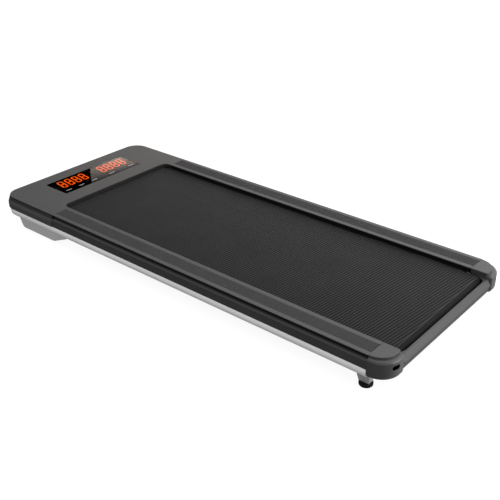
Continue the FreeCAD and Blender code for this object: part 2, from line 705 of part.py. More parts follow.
def motor_flywheel():
    """Fan flywheel on the motor's free end."""
    y0 = -54.0
    disc = rod(22.5, (MOTOR_X, y0, MOTOR_Z), (0, 1, 0), 16.0)
    dish = pipe(19.5, 9.0, (MOTOR_X, y0 + 6, MOTOR_Z), (0, 1, 0), 12.0)
    fins = []
    for index in range(9):
        fin = box(8.0, 20.5, y0 + 6, y0 + 15, -1.0, 1.0)
        fin.rotate(Vector(0, 0, 0), Vector(0, 1, 0), 40 * index)
        fin.translate(Vector(MOTOR_X, 0, MOTOR_Z))
        fins.append(fin)
    wheel = join(cut(disc, dish), *fins)
    return cut(wheel, rod(SHAFT_RADIUS, (MOTOR_X, y0 - 1, MOTOR_Z), (0, 1, 0), 20))


def drive_belt():
    y0 = PULLEY_START + 2.0
    y1 = PULLEY_END - 2.0
    gap = 0.3
    sizes = [loop(FRONT_ROLLER_X, ROLLER_HEIGHT, ROLLER_PULLEY_RADIUS + gap + grow,
                  MOTOR_X, MOTOR_Z, MOTOR_PULLEY_RADIUS + gap + grow, y0, y1)
             for grow in (DRIVE_BELT_THICKNESS, 0)]
    return cut(*sizes)


def controller_board():
    board = slab(BOARD_X0, BOARD_X1, BOARD_Y0, BOARD_Y1, BOARD_LOW, BOARD_TOP, 2.0)
    posts = [rod(3.0, (x, y, TRAY_FLOOR), (0, 0, 1), BOARD_LOW - TRAY_FLOOR)
             for x in (BOARD_X0 + 10, BOARD_X1 - 6) for y in (BOARD_Y0 + 6, BOARD_Y1 - 6)]
    return [board] + posts


def controller_parts():
    """Capacitors, relays, transformer, connectors and filters on the controller board."""
    capacitors = [rod(10.0, (x, 128.0, BOARD_TOP), (0, 0, 1), 32.0) for x in (-556.0, -532.0)]
    relays = [box(x, x + 18, 84.0, 106.0, BOARD_TOP, BOARD_TOP + 17) for x in (-566.0, -543.0)]
    transformer = box(-540.0, -514.0, 54.0, 80.0, BOARD_TOP, BOARD_TOP + 28)
    connectors = [box(x, x + 16, 12.0, 22.0, BOARD_TOP, BOARD_TOP + 10) for x in (-567.0, -547.0, -527.0)]
    filters = [rod(4.0, (x, 42.0, BOARD_TOP), (0, 0, 1), 12.0) for x in (-562.0, -550.0, -538.0, -526.0)]
    return capacitors + relays + [transformer] + connectors + filters


def controller_heatsink():
    x0 = TRAY_FRONT + 1
    x1 = -512.0
    base = box(x0, x1, 154.0, 226.0, TRAY_FLOOR, TRAY_FLOOR + 5)
    fins = [box(x0, x1, y, y + 2.0, TRAY_FLOOR + 4, TRAY_FLOOR + 32) for y in range(156, 226, 8)]
    return join(base, *fins)


# ---- service panel ----
def power_inlet():
    face = FRONT + PANEL_DEPTH - 1.5
    back = FRONT + 27.0
    bezel = box(face, face + 1.5, INLET_Y - 16.0, INLET_Y + 16.0, PANEL_Z - 11.5, PANEL_Z + 11.5)
    body = box(face + 1.5, back, INLET_Y - 13.5, INLET_Y + 13.5, PANEL_Z - 9.7, PANEL_Z + 9.7)
    corners = [(INLET_Y - 12.0, PANEL_Z - 8.0, 1.0), (INLET_Y + 12.0, PANEL_Z - 8.0, 1.0),
               (INLET_Y + 12.0, PANEL_Z + 3.5, 1.0), (INLET_Y + 7.5, PANEL_Z + 8.0, 1.0),
               (INLET_Y - 7.5, PANEL_Z + 8.0, 1.0), (INLET_Y - 12.0, PANEL_Z + 3.5, 1.0)]
    socket = along_x(corners, face - 1, back - 4)
    slots = [pin.copy() for pin in inlet_pins()]
    return cut(join(bezel, body), socket, *slots)


def inlet_pins():
    """Three flat contacts in the mains inlet, set back from its mouth."""
    tip = FRONT + 7.5
    tail = FRONT + 33.0
    places = [(INLET_Y - 7.0, PANEL_Z - 2.0), (INLET_Y + 7.0, PANEL_Z - 2.0), (INLET_Y, PANEL_Z + 2.0)]
    return [box(tip, tail, y - 1.0, y + 1.0, z - 2.0, z + 2.0) for y, z in places]


def switch_housing():
    face = FRONT + PANEL_DEPTH - 1.2
    back = FRONT + 24.0
    bezel = slab(0, 24.0, 0, 24.0, 0, 1.2, 1.5)
    bezel.rotate(Vector(0, 0, 0), Vector(0, 1, 0), -90)
    bezel.translate(Vector(face + 1.2, SWITCH_Y - 12.0, PANEL_Z - 12.0))
    body = box(face + 1.2, back, SWITCH_Y - 9.5, SWITCH_Y + 9.5, PANEL_Z - 9.5, PANEL_Z + 9.5)
    well = box(face - 1, back - 8, SWITCH_Y - 7.6, SWITCH_Y + 7.6, PANEL_Z - 8.6, PANEL_Z + 8.6)
    terminals = [box(back, back + 6, y - 1.5, y + 1.5, PANEL_Z - 0.4, PANEL_Z + 0.4)
                 for y in (SWITCH_Y - 3.0, SWITCH_Y + 3.0)]
    return join(cut(join(bezel, body), well, switch_pivot(0.03)), *terminals)


def switch_pivot_x():
    return FRONT + 8.5


def switch_pivot(extra):
    return rod(1.5 + extra, (switch_pivot_x(), SWITCH_Y - 8.6, PANEL_Z), (0, 1, 0), 17.2)


def power_rocker():
    """Rocker on its two stub pins, pressed in at the bottom. The travel presses in the top."""
    x = switch_pivot_x()
    corners = [(x - 5.6, PANEL_Z - 7.2, 1.0), (x - 4.2, PANEL_Z, 12.0), (x - 5.6, PANEL_Z + 7.2, 1.0),
               (x + 2.0, PANEL_Z + 6.0, 1.5), (x + 4.0, PANEL_Z, 2.0), (x + 2.0, PANEL_Z - 6.0, 1.5)]
    cap = along_y(corners, SWITCH_Y - 7.0, SWITCH_Y + 7.0)
    rocker = join(cap, switch_pivot(0))
    rocker.rotate(Vector(x, SWITCH_Y, PANEL_Z), Vector(0, 1, 0), -ROCKER_TILT)
    return rocker


def breaker_housing():
    face = FRONT + PANEL_DEPTH
    ring = pipe(7.5, 3.6, (face - 1.2, BREAKER_Y, PANEL_Z), (1, 0, 0), 1.2)
    neck = pipe(5.5, 3.6, (face, BREAKER_Y, PANEL_Z), (1, 0, 0), 10.0)
    body = box(face + 10, face + 26, BREAKER_Y - 8, BREAKER_Y + 8, PANEL_Z - 10, PANEL_Z + 10)
    well = rod(3.6, (face + 9, BREAKER_Y, PANEL_Z), (1, 0, 0), 8)
    return join(ring, neck, cut(body, well))


def breaker_button():
    """Reset button, pushed in. It springs out towards -X when the breaker trips."""
    face = FRONT + PANEL_DEPTH
    button = rod(3.5, (face + 1.2, BREAKER_Y, PANEL_Z), (1, 0, 0), 14.0)
    return round_edges(button, 0.8, lambda edge: abs(edge.BoundBox.XMax - face - 1.2) < 1e-4)


# ---- belly pan ----
def pan_blank(shrink):
    """Solid of the pan: its long section, its cross section and its rounded plan, in common."""
    top = RAIL_LOW + 10.0
    half = SIDE - PAN_INSET - shrink
    slope_in = 2.0 * shrink
    floor = PAN_LOW + shrink
    long_section = [(PAN_FRONT - 3.0 + shrink, top, 0), (PAN_FLAT_FRONT + 0.6 * shrink, floor, 12.0),
                    (PAN_FLAT_REAR - 0.3 * shrink, floor, 30.0),
                    (PAN_REAR - slope_in, RAIL_LOW - 2, 8.0), (PAN_REAR - slope_in + 3.0, top, 0)]
    cross_section = [(-half, top, 0), (-half, floor, 8.0 - shrink), (half, floor, 8.0 - shrink),
                     (half, top, 0)]
    long_solid = along_y(long_section, -half - 1, half + 1)
    cross_solid = along_x(cross_section, PAN_FRONT - 10, PAN_REAR + 10)
    footprint = slab(PAN_FRONT - 3, PAN_REAR + 3, -half, half, 0, top, 14.0 - shrink)
    return long_solid.common([cross_solid, footprint])


def belly_pan():
    """Moulded pan under the motor bay: a front flange, six screw posts and a low rear lip."""
    shell = cut(pan_blank(0), pan_blank(PAN_WALL))
    shell = shell.common(box(FRONT, 0, -SIDE, SIDE, 0, RAIL_LOW))
    bend = FRONT_CORNER - RAIL_INSET - RAIL_WIDTH
    flange_front = FRONT + RAIL_INSET + RAIL_WIDTH + 0.1
    flange = plan([(flange_front, -BAY_SIDE + 0.1, bend), (PAN_FRONT + 4.5, -BAY_SIDE + 0.1, 0),
                   (PAN_FRONT + 4.5, BAY_SIDE - 0.1, 0), (flange_front, BAY_SIDE - 0.1, bend)],
                  RAIL_LOW, RAIL_LOW + 2)
    belt_gap = box(-460.0, PAN_REAR + 10, -SIDE + 58, SIDE - 58, ROLLER_HEIGHT - 24.6, RAIL_LOW + 5)
    bosses = []
    bores = []
    for x, y in pan_screw_places():
        bosses.append(rod(6.5, (x, y, PAN_LOW + 1), (0, 0, 1), RAIL_LOW - PAN_LOW - 1))
        bores.append(rod(4.5, (x, y, 0), (0, 0, 1), 26.0))
        bores.append(rod(2.0, (x, y, 0), (0, 0, 1), RAIL_LOW + 1))
    return cut(join(cut(shell, belt_gap), flange, *bosses), *bores)


def pan_screw(x, y):
    head = round_edges(rod(4.0, (x, y, 22.5), (0, 0, 1), 3.5), 0.8, flat_at(22.5))
    shank = rod(2.0, (x, y, 26.0), (0, 0, 1), 11.0)
    drive = rod(1.8, (x, y, 22), (0, 0, 1), 2.0)
    return cut(join(head, shank), drive)


def front_foot(side):
    place = (-548.0, side * 205.0, 0)
    return round_edges(rod(14.0, place, (0, 0, 1), PAN_LOW), 1.5, flat_at(0))


# ---- rear feet and transport wheels ----
def foot_pad():
    y = -SIDE + FOOT_INSET
    height = BRACKET_LOW - 0.3
    low = rod(FOOT_RADIUS, (FOOT_X, y, 0), (0, 0, 1), height)
    low = round_edges(low, 2.0, flat_at(0))
    low = round_edges(low, 1.2, flat_at(height))
    return cut(low, rod(STUD_RADIUS, (FOOT_X, y, 4.0), (0, 0, 1), 20))


def foot_stud():
    y = -SIDE + FOOT_INSET
    return rod(STUD_RADIUS, (FOOT_X, y, 4.0), (0, 0, 1), 26.0)


def transport_wheel():
    z = WHEEL_FLOOR_GAP + WHEEL_RADIUS
    y0 = -WHEEL_Y - WHEEL_WIDTH / 2
    wheel = rod(WHEEL_RADIUS, (WHEEL_X, y0, z), (0, 1, 0), WHEEL_WIDTH)
    wheel = round_edges(wheel, 2.0, lambda edge: len(edge.Vertexes) == 1)
    dishes = [pipe(11.5, 5.5, (WHEEL_X, y, z), (0, 1, 0), 2.0) for y in (y0, y0 + WHEEL_WIDTH - 2.0)]
    return cut(wheel, rod(WHEEL_AXLE_RADIUS + RUNNING_GAP, (WHEEL_X, y0 - 1, z), (0, 1, 0), 20), *dishes)


def wheel_axle():
    z = WHEEL_FLOOR_GAP + WHEEL_RADIUS
    reach = WHEEL_WIDTH / 2 + 2.5
    pin = rod(WHEEL_AXLE_RADIUS, (WHEEL_X, -WHEEL_Y - reach, z), (0, 1, 0), 2 * reach)
    heads = [rod(5.0, (WHEEL_X, -WHEEL_Y + side * reach, z), (0, side, 0), 1.8) for side in (-1, 1)]
    return join(pin, *heads)


# ---- end caps and rear bar ----
def cap_plan(inset, z0, z1, front):
    """Left end cap's plan: one large outer corner at the rear, one small corner beside the belt."""
    inner = -SIDE + CAP_INNER - inset
    corners = [(front, -SIDE + inset, 0), (REAR - inset, -SIDE + inset, CAP_CORNER - inset),
               (REAR - inset, inner, 9.0), (front, inner, 0)]
    return plan(corners, z0, z1)


def cap_plate(inset, z0, z1, front):
    """Plan of the set-in top plate, whose corner sweeps wider than the shell's."""
    inner = -SIDE + CAP_INNER - inset
    corners = [(front, -SIDE + PLATE_SIDE + inset, 0),
               (REAR - PLATE_INSET - inset, -SIDE + PLATE_SIDE + inset, PLATE_CORNER - inset),
               (REAR - PLATE_INSET - inset, inner, 5.0), (front, inner, 0)]
    return plan(corners, z0, z1)


def cap_outer_edges(height, front):
    """Picks the level edges at a height along the cap's outer side and rear."""
    return lambda edge: (flat_at(height)(edge) and edge.BoundBox.XMax > front + 4
                         and edge.BoundBox.YMin < -SIDE + CAP_INNER - 10)


def end_cap():
    """Left end cap: a rounded shell under a set-in top plate, with the tension bolt's access hole."""
    front = RAIL_END + SEAM
    floor = CAP_LOW + CAP_WALL
    body = cap_plan(0, CAP_LOW, CAP_SHOULDER, front)
    body = round_edges(body, CAP_ROUND, cap_outer_edges(CAP_SHOULDER, front))
    body = round_edges(body, CAP_LOW_ROUND, cap_outer_edges(CAP_LOW, front))
    body = round_edges(body, 2.0, lambda edge: edge.BoundBox.XMax < front + 1e-4
                       and edge.BoundBox.YMax < -SIDE + CAP_LOW_ROUND + 1e-4)
    plate = cap_plate(0, CAP_SHOULDER - 6, HEIGHT, front)
    plate = round_edges(plate, 1.6, lambda edge: flat_at(HEIGHT)(edge)
                        and edge.BoundBox.XMax > front + 1)
    hollow = cap_plan(CAP_WALL, floor, CAP_SHOULDER - 4, front - 5)
    hollow = round_edges(hollow, CAP_LOW_ROUND - CAP_WALL, cap_outer_edges(floor, front))
    upper = cap_plate(CAP_WALL, CAP_SHOULDER - 6, HEIGHT - CAP_WALL, front - 1)
    axle_slot = box(front - 1, REAR_ROLLER_X + 10, -SIDE + CAP_INNER - CAP_WALL - 1, -SIDE + CAP_INNER + 1,
                    floor, ROLLER_HEIGHT + 9)
    return cut(join(body, plate), hollow, upper, axle_slot, access_hole())


def access_hole():
    """Oblong hole in the rear wall, in line with the tension bolt."""
    middle = tension_bolt_y() - 2.0
    corners = [(middle + a * HOLE_HALF_WIDTH, BOLT_HEIGHT + b * HOLE_HALF_HEIGHT, HOLE_HALF_HEIGHT - 0.3)
               for a, b in ((-1, -1), (1, -1), (1, 1), (-1, 1))]
    return along_x(corners, 637.0, REAR + 5)


def rear_cover_bar():
    """Bar behind the belt: a sloping upper face over a set-in lower wall, with curved ledges at its ends."""
    section = [
        (BAR_LIP_X, BAR_TOP, 0.8), (645.5, BAR_TOP - 0.4, 2.0), (653.8, 61.0, 1.5), (653.8, 59.5, 0),
        (651.8, 59.5, 0), (651.8, BAR_LOW, 1.2), (649.4, BAR_LOW, 0.6), (649.4, 60.5, 0),
        (643.5, BAR_TOP - 3.0, 1.0), (BAR_LIP_X, BAR_TOP - 3.0, 0.8),
    ]
    strip = along_y(section, -BAR_HALF, BAR_HALF)
    ledges = []
    for side in (-1, 1):
        edge = side * BAR_HALF
        inward = edge - side * LEDGE_RADIUS
        square = box(BAR_LIP_X - LEDGE_RADIUS, BAR_LIP_X + 1, min(edge, inward), max(edge, inward),
                     BAR_TOP - 2.6, BAR_TOP - 0.4)
        centre = (BAR_LIP_X - LEDGE_RADIUS, inward, 0)
        ledges.append(cut(square, rod(LEDGE_RADIUS, centre, (0, 0, 1), HEIGHT)))
    return join(strip, *ledges)


# ---- wiring ----
def wire(points, radius, diameter):
    """Round wire along straight runs, with an arc of one radius at each bend."""
    nodes = [Vector(*p) for p in points]
    edges = []
    start = nodes[0]
    for before, here, after in zip(nodes, nodes[1:], nodes[2:]):
        back = (before - here).normalize()
        onward = (after - here).normalize()
        half = back.getAngle(onward) / 2
        reach = radius / math.tan(half)
        bend_in = here + back * reach
        bend_out = here + onward * reach
        crown = here + (back + onward).normalize() * (radius / math.sin(half) - radius)
        edges.append(Part.makeLine(start, bend_in))
        edges.append(Part.Arc(bend_in, crown, bend_out).toShape())
        start = bend_out
    edges.append(Part.makeLine(start, nodes[-1]))
    first = (nodes[1] - nodes[0]).normalize()
    disc = Part.Wire(Part.makeCircle(diameter / 2, nodes[0], first))
    return Part.Wire(edges).makePipeShell([disc], True, False)


def wiring_loom():
    """Leads from the motor, and from the mains panel, to the controller."""
    high = MOTOR_Z + 24
    motor_leads = [wire([(x, MOTOR_END, high), (x, 17.0, high), (x, 17.0, BOARD_TOP + 10)], 12.0, 2.4)
                   for x in (MOTOR_X - 8.7, MOTOR_X + 8.7)]
    mains = []
    for y, rise, x in ((INLET_Y - 7, -2.0, -562.0), (INLET_Y + 7, -2.0, -552.0), (INLET_Y, 2.0, -534.0)):
        points = [(FRONT + 33, y, PANEL_Z + rise), (FRONT + 52, y, PANEL_Z + rise),
                  (FRONT + 76, y - 12, 58.0), (x, 95.0, 58.0), (x, 95.0, BOARD_TOP + 17)]
        mains.append(wire(points, 8.0, 2.4))
    return motor_leads + mains


# ---- build ----
def write_pairs():
    """Pieces that come once on each side, each side a node of its own."""
    pairs = {
        "side_rail": side_rail(),
        "foot_rail": foot_rail(),
        "foot_rail_insert": foot_rail_insert(),
        "end_cap": end_cap(),
        "tension_bolt": tension_bolt(),
        "foot_pad": foot_pad(),
        "foot_stud": foot_stud(),
        "transport_wheel": transport_wheel(),
    }
    for name, left in pairs.items():
        save(name + "_left", left)
        save(name + "_right", mirrored(left))


def write_groups():
    """Identical pieces that share one node."""
    save("cross_members", *[cross_member(x) for x in CROSS_CENTRES])
    save("motor_clamps", motor_clamp(-172.0), motor_clamp(-92.0))
    save("foot_brackets", *both_sides(foot_bracket()))
    save("wheel_brackets", *[tab for left in wheel_bracket_tabs() for tab in both_sides(left)])
    save("wheel_axles", *both_sides(wheel_axle()))
    save("front_axle_mounts", *both_sides(front_axle_mount()))
    save("tension_brackets", *both_sides(tension_bracket()))
    save("deck_cushions", *[deck_cushion(x, y) for x, y in deck_screw_places()])
    save("deck_screws", *[deck_screw(x, y) for x, y in deck_screw_places()])
    save("belly_pan_screws", *[pan_screw(x, y) for x, y in pan_screw_places()])
    save("front_feet", front_foot(-1), front_foot(1))
    save("led_modules", *[led_module(y) for y in DIGIT_GROUP_CENTRES])
    save("led_segments", *[bar_solid for y in DIGIT_GROUP_CENTRES
                           for bar_solid in segment_bars(y, SEGMENT_LOW, SEGMENT_TOP)])
    save("front_roller_bearings", *roller_bearings(FRONT_ROLLER_X))
    save("rear_roller_bearings", *roller_bearings(REAR_ROLLER_X))
    save("inlet_pins", *inlet_pins())
    save("wiring_loom", *wiring_loom())


def write_singles():
    save("front_rail", front_rail())
    save("motor_tray", motor_tray())
    save("deck_board", deck_board())
    save("walking_belt", walking_belt())
    save("hood_shell", hood_shell())
    save("display_lens", display_lens())
    save("display_board", *display_board())
    save("motor_housing", motor_housing())
    save("motor_rotor", motor_rotor())
    save("motor_pulley", ribbed_pulley(MOTOR_X, MOTOR_Z, MOTOR_PULLEY_RADIUS, SHAFT_RADIUS, -206.0, 9.0))
    save("motor_flywheel", motor_flywheel())
    save("drive_belt", drive_belt())
    save("front_axle", front_axle())
    save("front_roller", roller(FRONT_ROLLER_X))
    save("front_roller_pulley", ribbed_pulley(FRONT_ROLLER_X, ROLLER_HEIGHT, ROLLER_PULLEY_RADIUS,
                                              AXLE_RADIUS + 2.0, -ROLLER_HALF, 16.5))
    save("controller_board", *controller_board())
    save("controller_parts", *controller_parts())
    save("controller_heatsink", controller_heatsink())
    save("power_inlet", power_inlet())
    save("switch_housing", switch_housing())
    save("power_rocker", power_rocker())
    save("breaker_housing", breaker_housing())
    save("breaker_button", breaker_button())
    save("belly_pan", belly_pan())
    save("rear_axle", rear_axle())
    save("rear_roller", roller(REAR_ROLLER_X))
    save("rear_cover_bar", rear_cover_bar())


os.makedirs("parts", exist_ok=True)
write_pairs()
write_groups()
write_singles()
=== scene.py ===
"""Looks of a flat walking treadmill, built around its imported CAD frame. Lengths are in metres."""

import math

import bmesh
import bpy
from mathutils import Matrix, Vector

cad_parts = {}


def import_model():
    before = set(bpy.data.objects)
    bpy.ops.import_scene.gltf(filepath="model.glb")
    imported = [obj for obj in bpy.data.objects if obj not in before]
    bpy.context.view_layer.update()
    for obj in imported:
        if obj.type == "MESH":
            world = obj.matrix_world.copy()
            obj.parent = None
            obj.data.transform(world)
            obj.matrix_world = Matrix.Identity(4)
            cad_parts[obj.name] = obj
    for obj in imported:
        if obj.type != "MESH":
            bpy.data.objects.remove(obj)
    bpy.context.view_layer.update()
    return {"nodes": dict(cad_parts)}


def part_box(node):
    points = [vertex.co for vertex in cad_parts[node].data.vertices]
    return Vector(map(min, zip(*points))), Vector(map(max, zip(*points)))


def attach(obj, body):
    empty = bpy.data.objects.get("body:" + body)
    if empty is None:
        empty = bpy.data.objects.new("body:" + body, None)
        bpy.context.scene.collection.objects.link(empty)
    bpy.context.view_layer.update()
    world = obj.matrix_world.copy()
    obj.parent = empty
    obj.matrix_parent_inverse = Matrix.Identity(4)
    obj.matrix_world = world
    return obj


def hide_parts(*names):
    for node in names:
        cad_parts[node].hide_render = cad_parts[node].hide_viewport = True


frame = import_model()

MM = 0.001

# ---- camera ----
CAMERA_PLACE = (1.2835, -1.4663, 1.075)
CAMERA_PITCH = math.radians(28.5)
CAMERA_AZIMUTH = math.radians(39.7)
CAMERA_LENS = 58.46             # for a sensor CAMERA_SENSOR wide, both in millimetres
CAMERA_SENSOR = 36.0
CAMERA_CLIP = (0.01, 200.0)

# ---- studio ----
FLOOR_SIZE = 200.0
FLOOR_GLOW = 0.91
SKY_STRENGTH = 0.86
GROUND_STRENGTH = 0.045
HORIZON = (-2.0, -0.5)          # rises, in degrees, between which the ground gives way to the sky
# Where the studio is brighter, as (from, to) turns about Z in degrees, how softly that ends, and how much
# brighter it is.
SKY_GLOW_TURN = (60.0, 110.0)
SKY_GLOW_SOFT = 26.0
SKY_GLOW = 1.2
GROUND_GLOW_TURN = (22.0, 95.0)
GROUND_GLOW_SOFT = 22.0
GROUND_GLOW = 0.95
# The display mirrors a dark card that stands in the studio, with a warm lit strip low at its right end.
# STRIP_RISE is where the strip starts to fade at that end and where it is gone. Both climb by STRIP_SLOPE for
# each degree of turn.
CARD_TURN = (128.0, 166.0)
CARD_RISE = (15.0, 31.0)
CARD_SOFT = 2.0
STRIP_TURN = (138.0, 141.7)
STRIP_RISE = (20.75, 22.4)
STRIP_SLOPE = 0.29
STRIP_STRENGTH = (3.6, 1.2)     # at its right end and its left end
STRIP_COLOUR = (1.0, 0.82, 0.70)
# The name, place, target, width and power of each square softbox.
SOFTBOXES = (("overhead", (0.0, 0.0, 3.2), (0.0, 0.0, 0.0), 5.0, 40.0),
             ("rear_key", (3.2, 0.9, 1.1), (0.5, 0.0, 0.05), 1.6, 90.0))

# ---- belt ----
BELT_THICKNESS = 1.6 * MM
BELT_EDGE_ROUND = 0.6 * MM
BELT_RUN_STEPS = 60             # along each straight run
BELT_TURN_STEPS = 32            # round each roller
BELT_PITCH = 3.8 * MM           # from one ridge of the diamond weave to the next
BELT_ANGLE = math.radians(60)   # between a ridge family's normal and the walking direction
BELT_ROW_PITCH = 7.6 * MM       # from one raised row to the next
BELT_ROW_ANGLE = math.radians(6)
BELT_WEAVE_SHARE = 0.35         # the diamonds' share of the pattern, the rest being the rows'
BELT_TURN_DOWN = 1.0 * MM       # the belt is painted dark as shade this far below its top round a roller, with a painted highlight line above that
BELT_TURN_FADE = 0.3 * MM
BELT_DUST = 120.0 * MM          # the size of its dusty patches
BELT_GRAIN = 0.5 * MM
BELT_RELIEF = 0.5 * MM

# ---- display: a black mask under the window, and printed legends along its rear edge ----
MASK_MARGIN = 5.0 * MM
MASK_CORNER = 2.0 * MM
MASK_GAP = 0.02 * MM            # between the tops of the digit modules and the mask
MASK_THICKNESS = 0.25 * MM
MASK_EASE = 0.05 * MM
LEGEND_X = -0.526               # the row of legends runs across at this place
LEGEND_HEIGHT = 3.0 * MM
LEGEND_CORNER = 0.7 * MM
LEGEND_THICKNESS = 0.12 * MM
LEGEND_EASE = 0.04 * MM
LEGEND_PLACES = (-0.122, -0.074, -0.024, 0.045, 0.125)
LEGEND_BARS = ((-7.5 * MM, 5.0 * MM), (-1.0 * MM, 6.0 * MM), (6.5 * MM, 7.0 * MM))   # (offset, length)

# ---- rear foot pads ----
PAD_CORE = 0.3 * MM             # the turned profile starts this far from its axis
PAD_TREAD_DEPTH = 1.2 * MM
PAD_TREAD_PITCH = 3.0 * MM
PAD_TREAD_RINGS = 4
PAD_TREAD_WIDTH = 2.2 * MM
PAD_RIB_FOOT = 2.4 * MM         # where the lowest rib starts
PAD_RIB_PITCH = 2.0 * MM
PAD_RIB_HEIGHT = 1.1 * MM
PAD_RIB_DEPTH = 0.6 * MM
PAD_RIBS = 3
PAD_FLANK = 0.4 * MM            # how far the flank of a tread ring or a rib leans
PAD_SOCKET = 4.1 * MM           # the radius of the screw's socket, and the height of its bottom

# ---- transport wheels ----
WHEEL_BORE = 3.1 * MM
WHEEL_HUB = 5.4 * MM
WHEEL_RIM = 11.4 * MM           # the sides are dished from the hub out to this radius
WHEEL_DISH = 1.8 * MM
WHEEL_SHOULDER = 1.8 * MM       # from each side of the wheel to where its tread starts
WHEEL_GROOVE_PITCH = 3.4 * MM
WHEEL_GROOVE_DEPTH = 0.9 * MM
WHEEL_GROOVE_TOP = 0.7 * MM     # half its width at the tread, and half its width at its bottom
WHEEL_GROOVE_BOTTOM = 0.4 * MM

# ---- painted shade in the grooves under the lips of the foot rails and the hood ----
LIP = 2.0 * MM
LIP_FADE = 0.2 * MM
GROOVE_HEIGHT = 9.5 * MM
GROOVE_FADE = 2.0 * MM

# ---- surface detail ----
EDGE_WEAR = 0.9 * MM            # how wide the rubbed edges are
EDGE_WEAR_PATCH = 9.0 * MM
PIT_SPACING = 1.8               # in grains
SCRATCH_WIDTH = 0.7 * MM
SCRATCH_RELIEF = 0.01 * MM

# ---- meshes ----
SMOOTH_ANGLE = math.radians(30)
LATHE_STEPS = 72
CORNER_STEPS = 6                # in a plate's rounded corner
EDGE_STEPS = 3                  # in the belt's rounded edge


def grey(level):
    """A neutral colour."""
    return level, level, level


# ---- finishes ----
# Moulded and painted ones, with the values that moulded() explains.
MOULDED = {
    "dark_shell": {"dark": (0.022, 0.022, 0.023), "light": (0.026, 0.026, 0.027), "rough": (0.40, 0.50),
                   "grain": 0.7 * MM, "depth": 0.03 * MM, "worn": grey(0.04)},
    # silver_frame darkens towards the bottom of its band: painted shade.
    "silver_frame": {"dark": grey(0.70), "light": grey(0.75), "rough": (0.36, 0.46), "grain": 0.5 * MM,
                     "depth": 0.02 * MM, "metallic": 0.15, "lower": (54 * MM, 38 * MM, 0.5)},
    "silver_shell": {"dark": grey(0.285), "light": grey(0.325), "rough": (0.38, 0.50), "grain": 0.6 * MM,
                     "depth": 0.03 * MM, "metallic": 0.1},
    "black_steel": {"dark": (0.016, 0.016, 0.017), "light": (0.026, 0.026, 0.027), "rough": (0.40, 0.55),
                    "grain": 1.1 * MM, "depth": 0.05 * MM, "worn": grey(0.07)},
    "insert_rubber": {"dark": (0.021, 0.021, 0.022), "light": (0.025, 0.025, 0.026), "rough": (0.55, 0.7),
                      "grain": 0.6 * MM, "depth": 0.02 * MM, "specular": 0.35},
    "cushion_rubber": {"dark": grey(0.002), "light": grey(0.005), "rough": (0.6, 0.8), "grain": 1.0 * MM,
                       "depth": 0.06 * MM, "specular": 0.15},
    "zinc_steel": {"dark": (0.50, 0.50, 0.47), "light": (0.66, 0.65, 0.60), "rough": (0.25, 0.5),
                   "grain": 2.0 * MM, "depth": 0.01 * MM, "metallic": 1.0, "blotch": 8 * MM},
    "black_plastic": {"dark": grey(0.010), "light": grey(0.018), "rough": (0.35, 0.5), "grain": 0.8 * MM,
                      "depth": 0.03 * MM},
    "component_plastic": {"dark": (0.02, 0.03, 0.05), "light": (0.05, 0.05, 0.06), "rough": (0.3, 0.5),
                          "grain": 0.6 * MM, "depth": 0.02 * MM, "blotch": 15 * MM},
    "cast_metal": {"dark": grey(0.20), "light": (0.30, 0.30, 0.29), "rough": (0.45, 0.65), "grain": 1.5 * MM,
                   "depth": 0.12 * MM, "metallic": 0.9, "blotch": 10 * MM},
    "motor_paint": {"dark": (0.02, 0.02, 0.022), "light": (0.035, 0.035, 0.04), "rough": (0.25, 0.4),
                    "grain": 1.5 * MM, "depth": 0.05 * MM, "worn": grey(0.12)},
    "button_white": {"dark": (0.60, 0.60, 0.58), "light": (0.70, 0.70, 0.68), "rough": (0.35, 0.5),
                     "grain": 0.6 * MM, "depth": 0.02 * MM},
}
# Closer finishes, for pieces that don't look quite like the rest of their slot. The shell, bracket and bar
# ones are copies of their slot's finish made lighter or darker to paint the light and shade each piece gets.
CLOSER = {
    # The groove values paint shade in the groove under the top lip.
    "rail_shell": {"dark": (0.020, 0.020, 0.021), "light": (0.024, 0.024, 0.025), "rough": (0.40, 0.50),
                   "grain": 0.7 * MM, "depth": 0.03 * MM, "groove": (0.012, 0.85)},
    "hood_shell": {"dark": (0.029, 0.029, 0.030), "light": (0.033, 0.033, 0.034), "rough": (0.42, 0.52),
                   "grain": 0.7 * MM, "depth": 0.03 * MM, "specular": 0.36, "groove": (0.012, 0.35)},
    # Darker than silver_frame: painted shade under the rail's overhang.
    "bracket_shaded_silver": {"dark": grey(0.19), "light": grey(0.22), "rough": (0.35, 0.5), "grain": 0.6 * MM,
                       "depth": 0.03 * MM, "metallic": 0.2, "worn": grey(0.4)},
    "cap_shell": {"dark": (0.023, 0.023, 0.024), "light": (0.026, 0.026, 0.027), "rough": (0.42, 0.52),
                  "grain": 0.7 * MM, "depth": 0.03 * MM, "worn": grey(0.04)},
    # The rear bar is darker below the step in its wall: painted shade.
    "bar_shell": {"dark": (0.022, 0.022, 0.023), "light": (0.026, 0.026, 0.027), "rough": (0.42, 0.52),
                  "grain": 0.7 * MM, "depth": 0.03 * MM, "specular": 0.4,
                  "lower": (60.0 * MM, 59.4 * MM, 0.35)},
    "mask_ink": {"dark": grey(0.001), "light": grey(0.002), "rough": (0.6, 0.7), "grain": 0.8 * MM,
                 "depth": 0.01 * MM, "specular": 0.1, "metallic": 0.95},
}
CLOSER_BY_NODE = {
    "foot_rail_left": "rail_shell",
    "foot_rail_right": "rail_shell",
    "hood_shell": "hood_shell",
    "foot_brackets": "bracket_shaded_silver",
    "end_cap_left": "cap_shell",
    "end_cap_right": "cap_shell",
    "rear_cover_bar": "bar_shell",
}
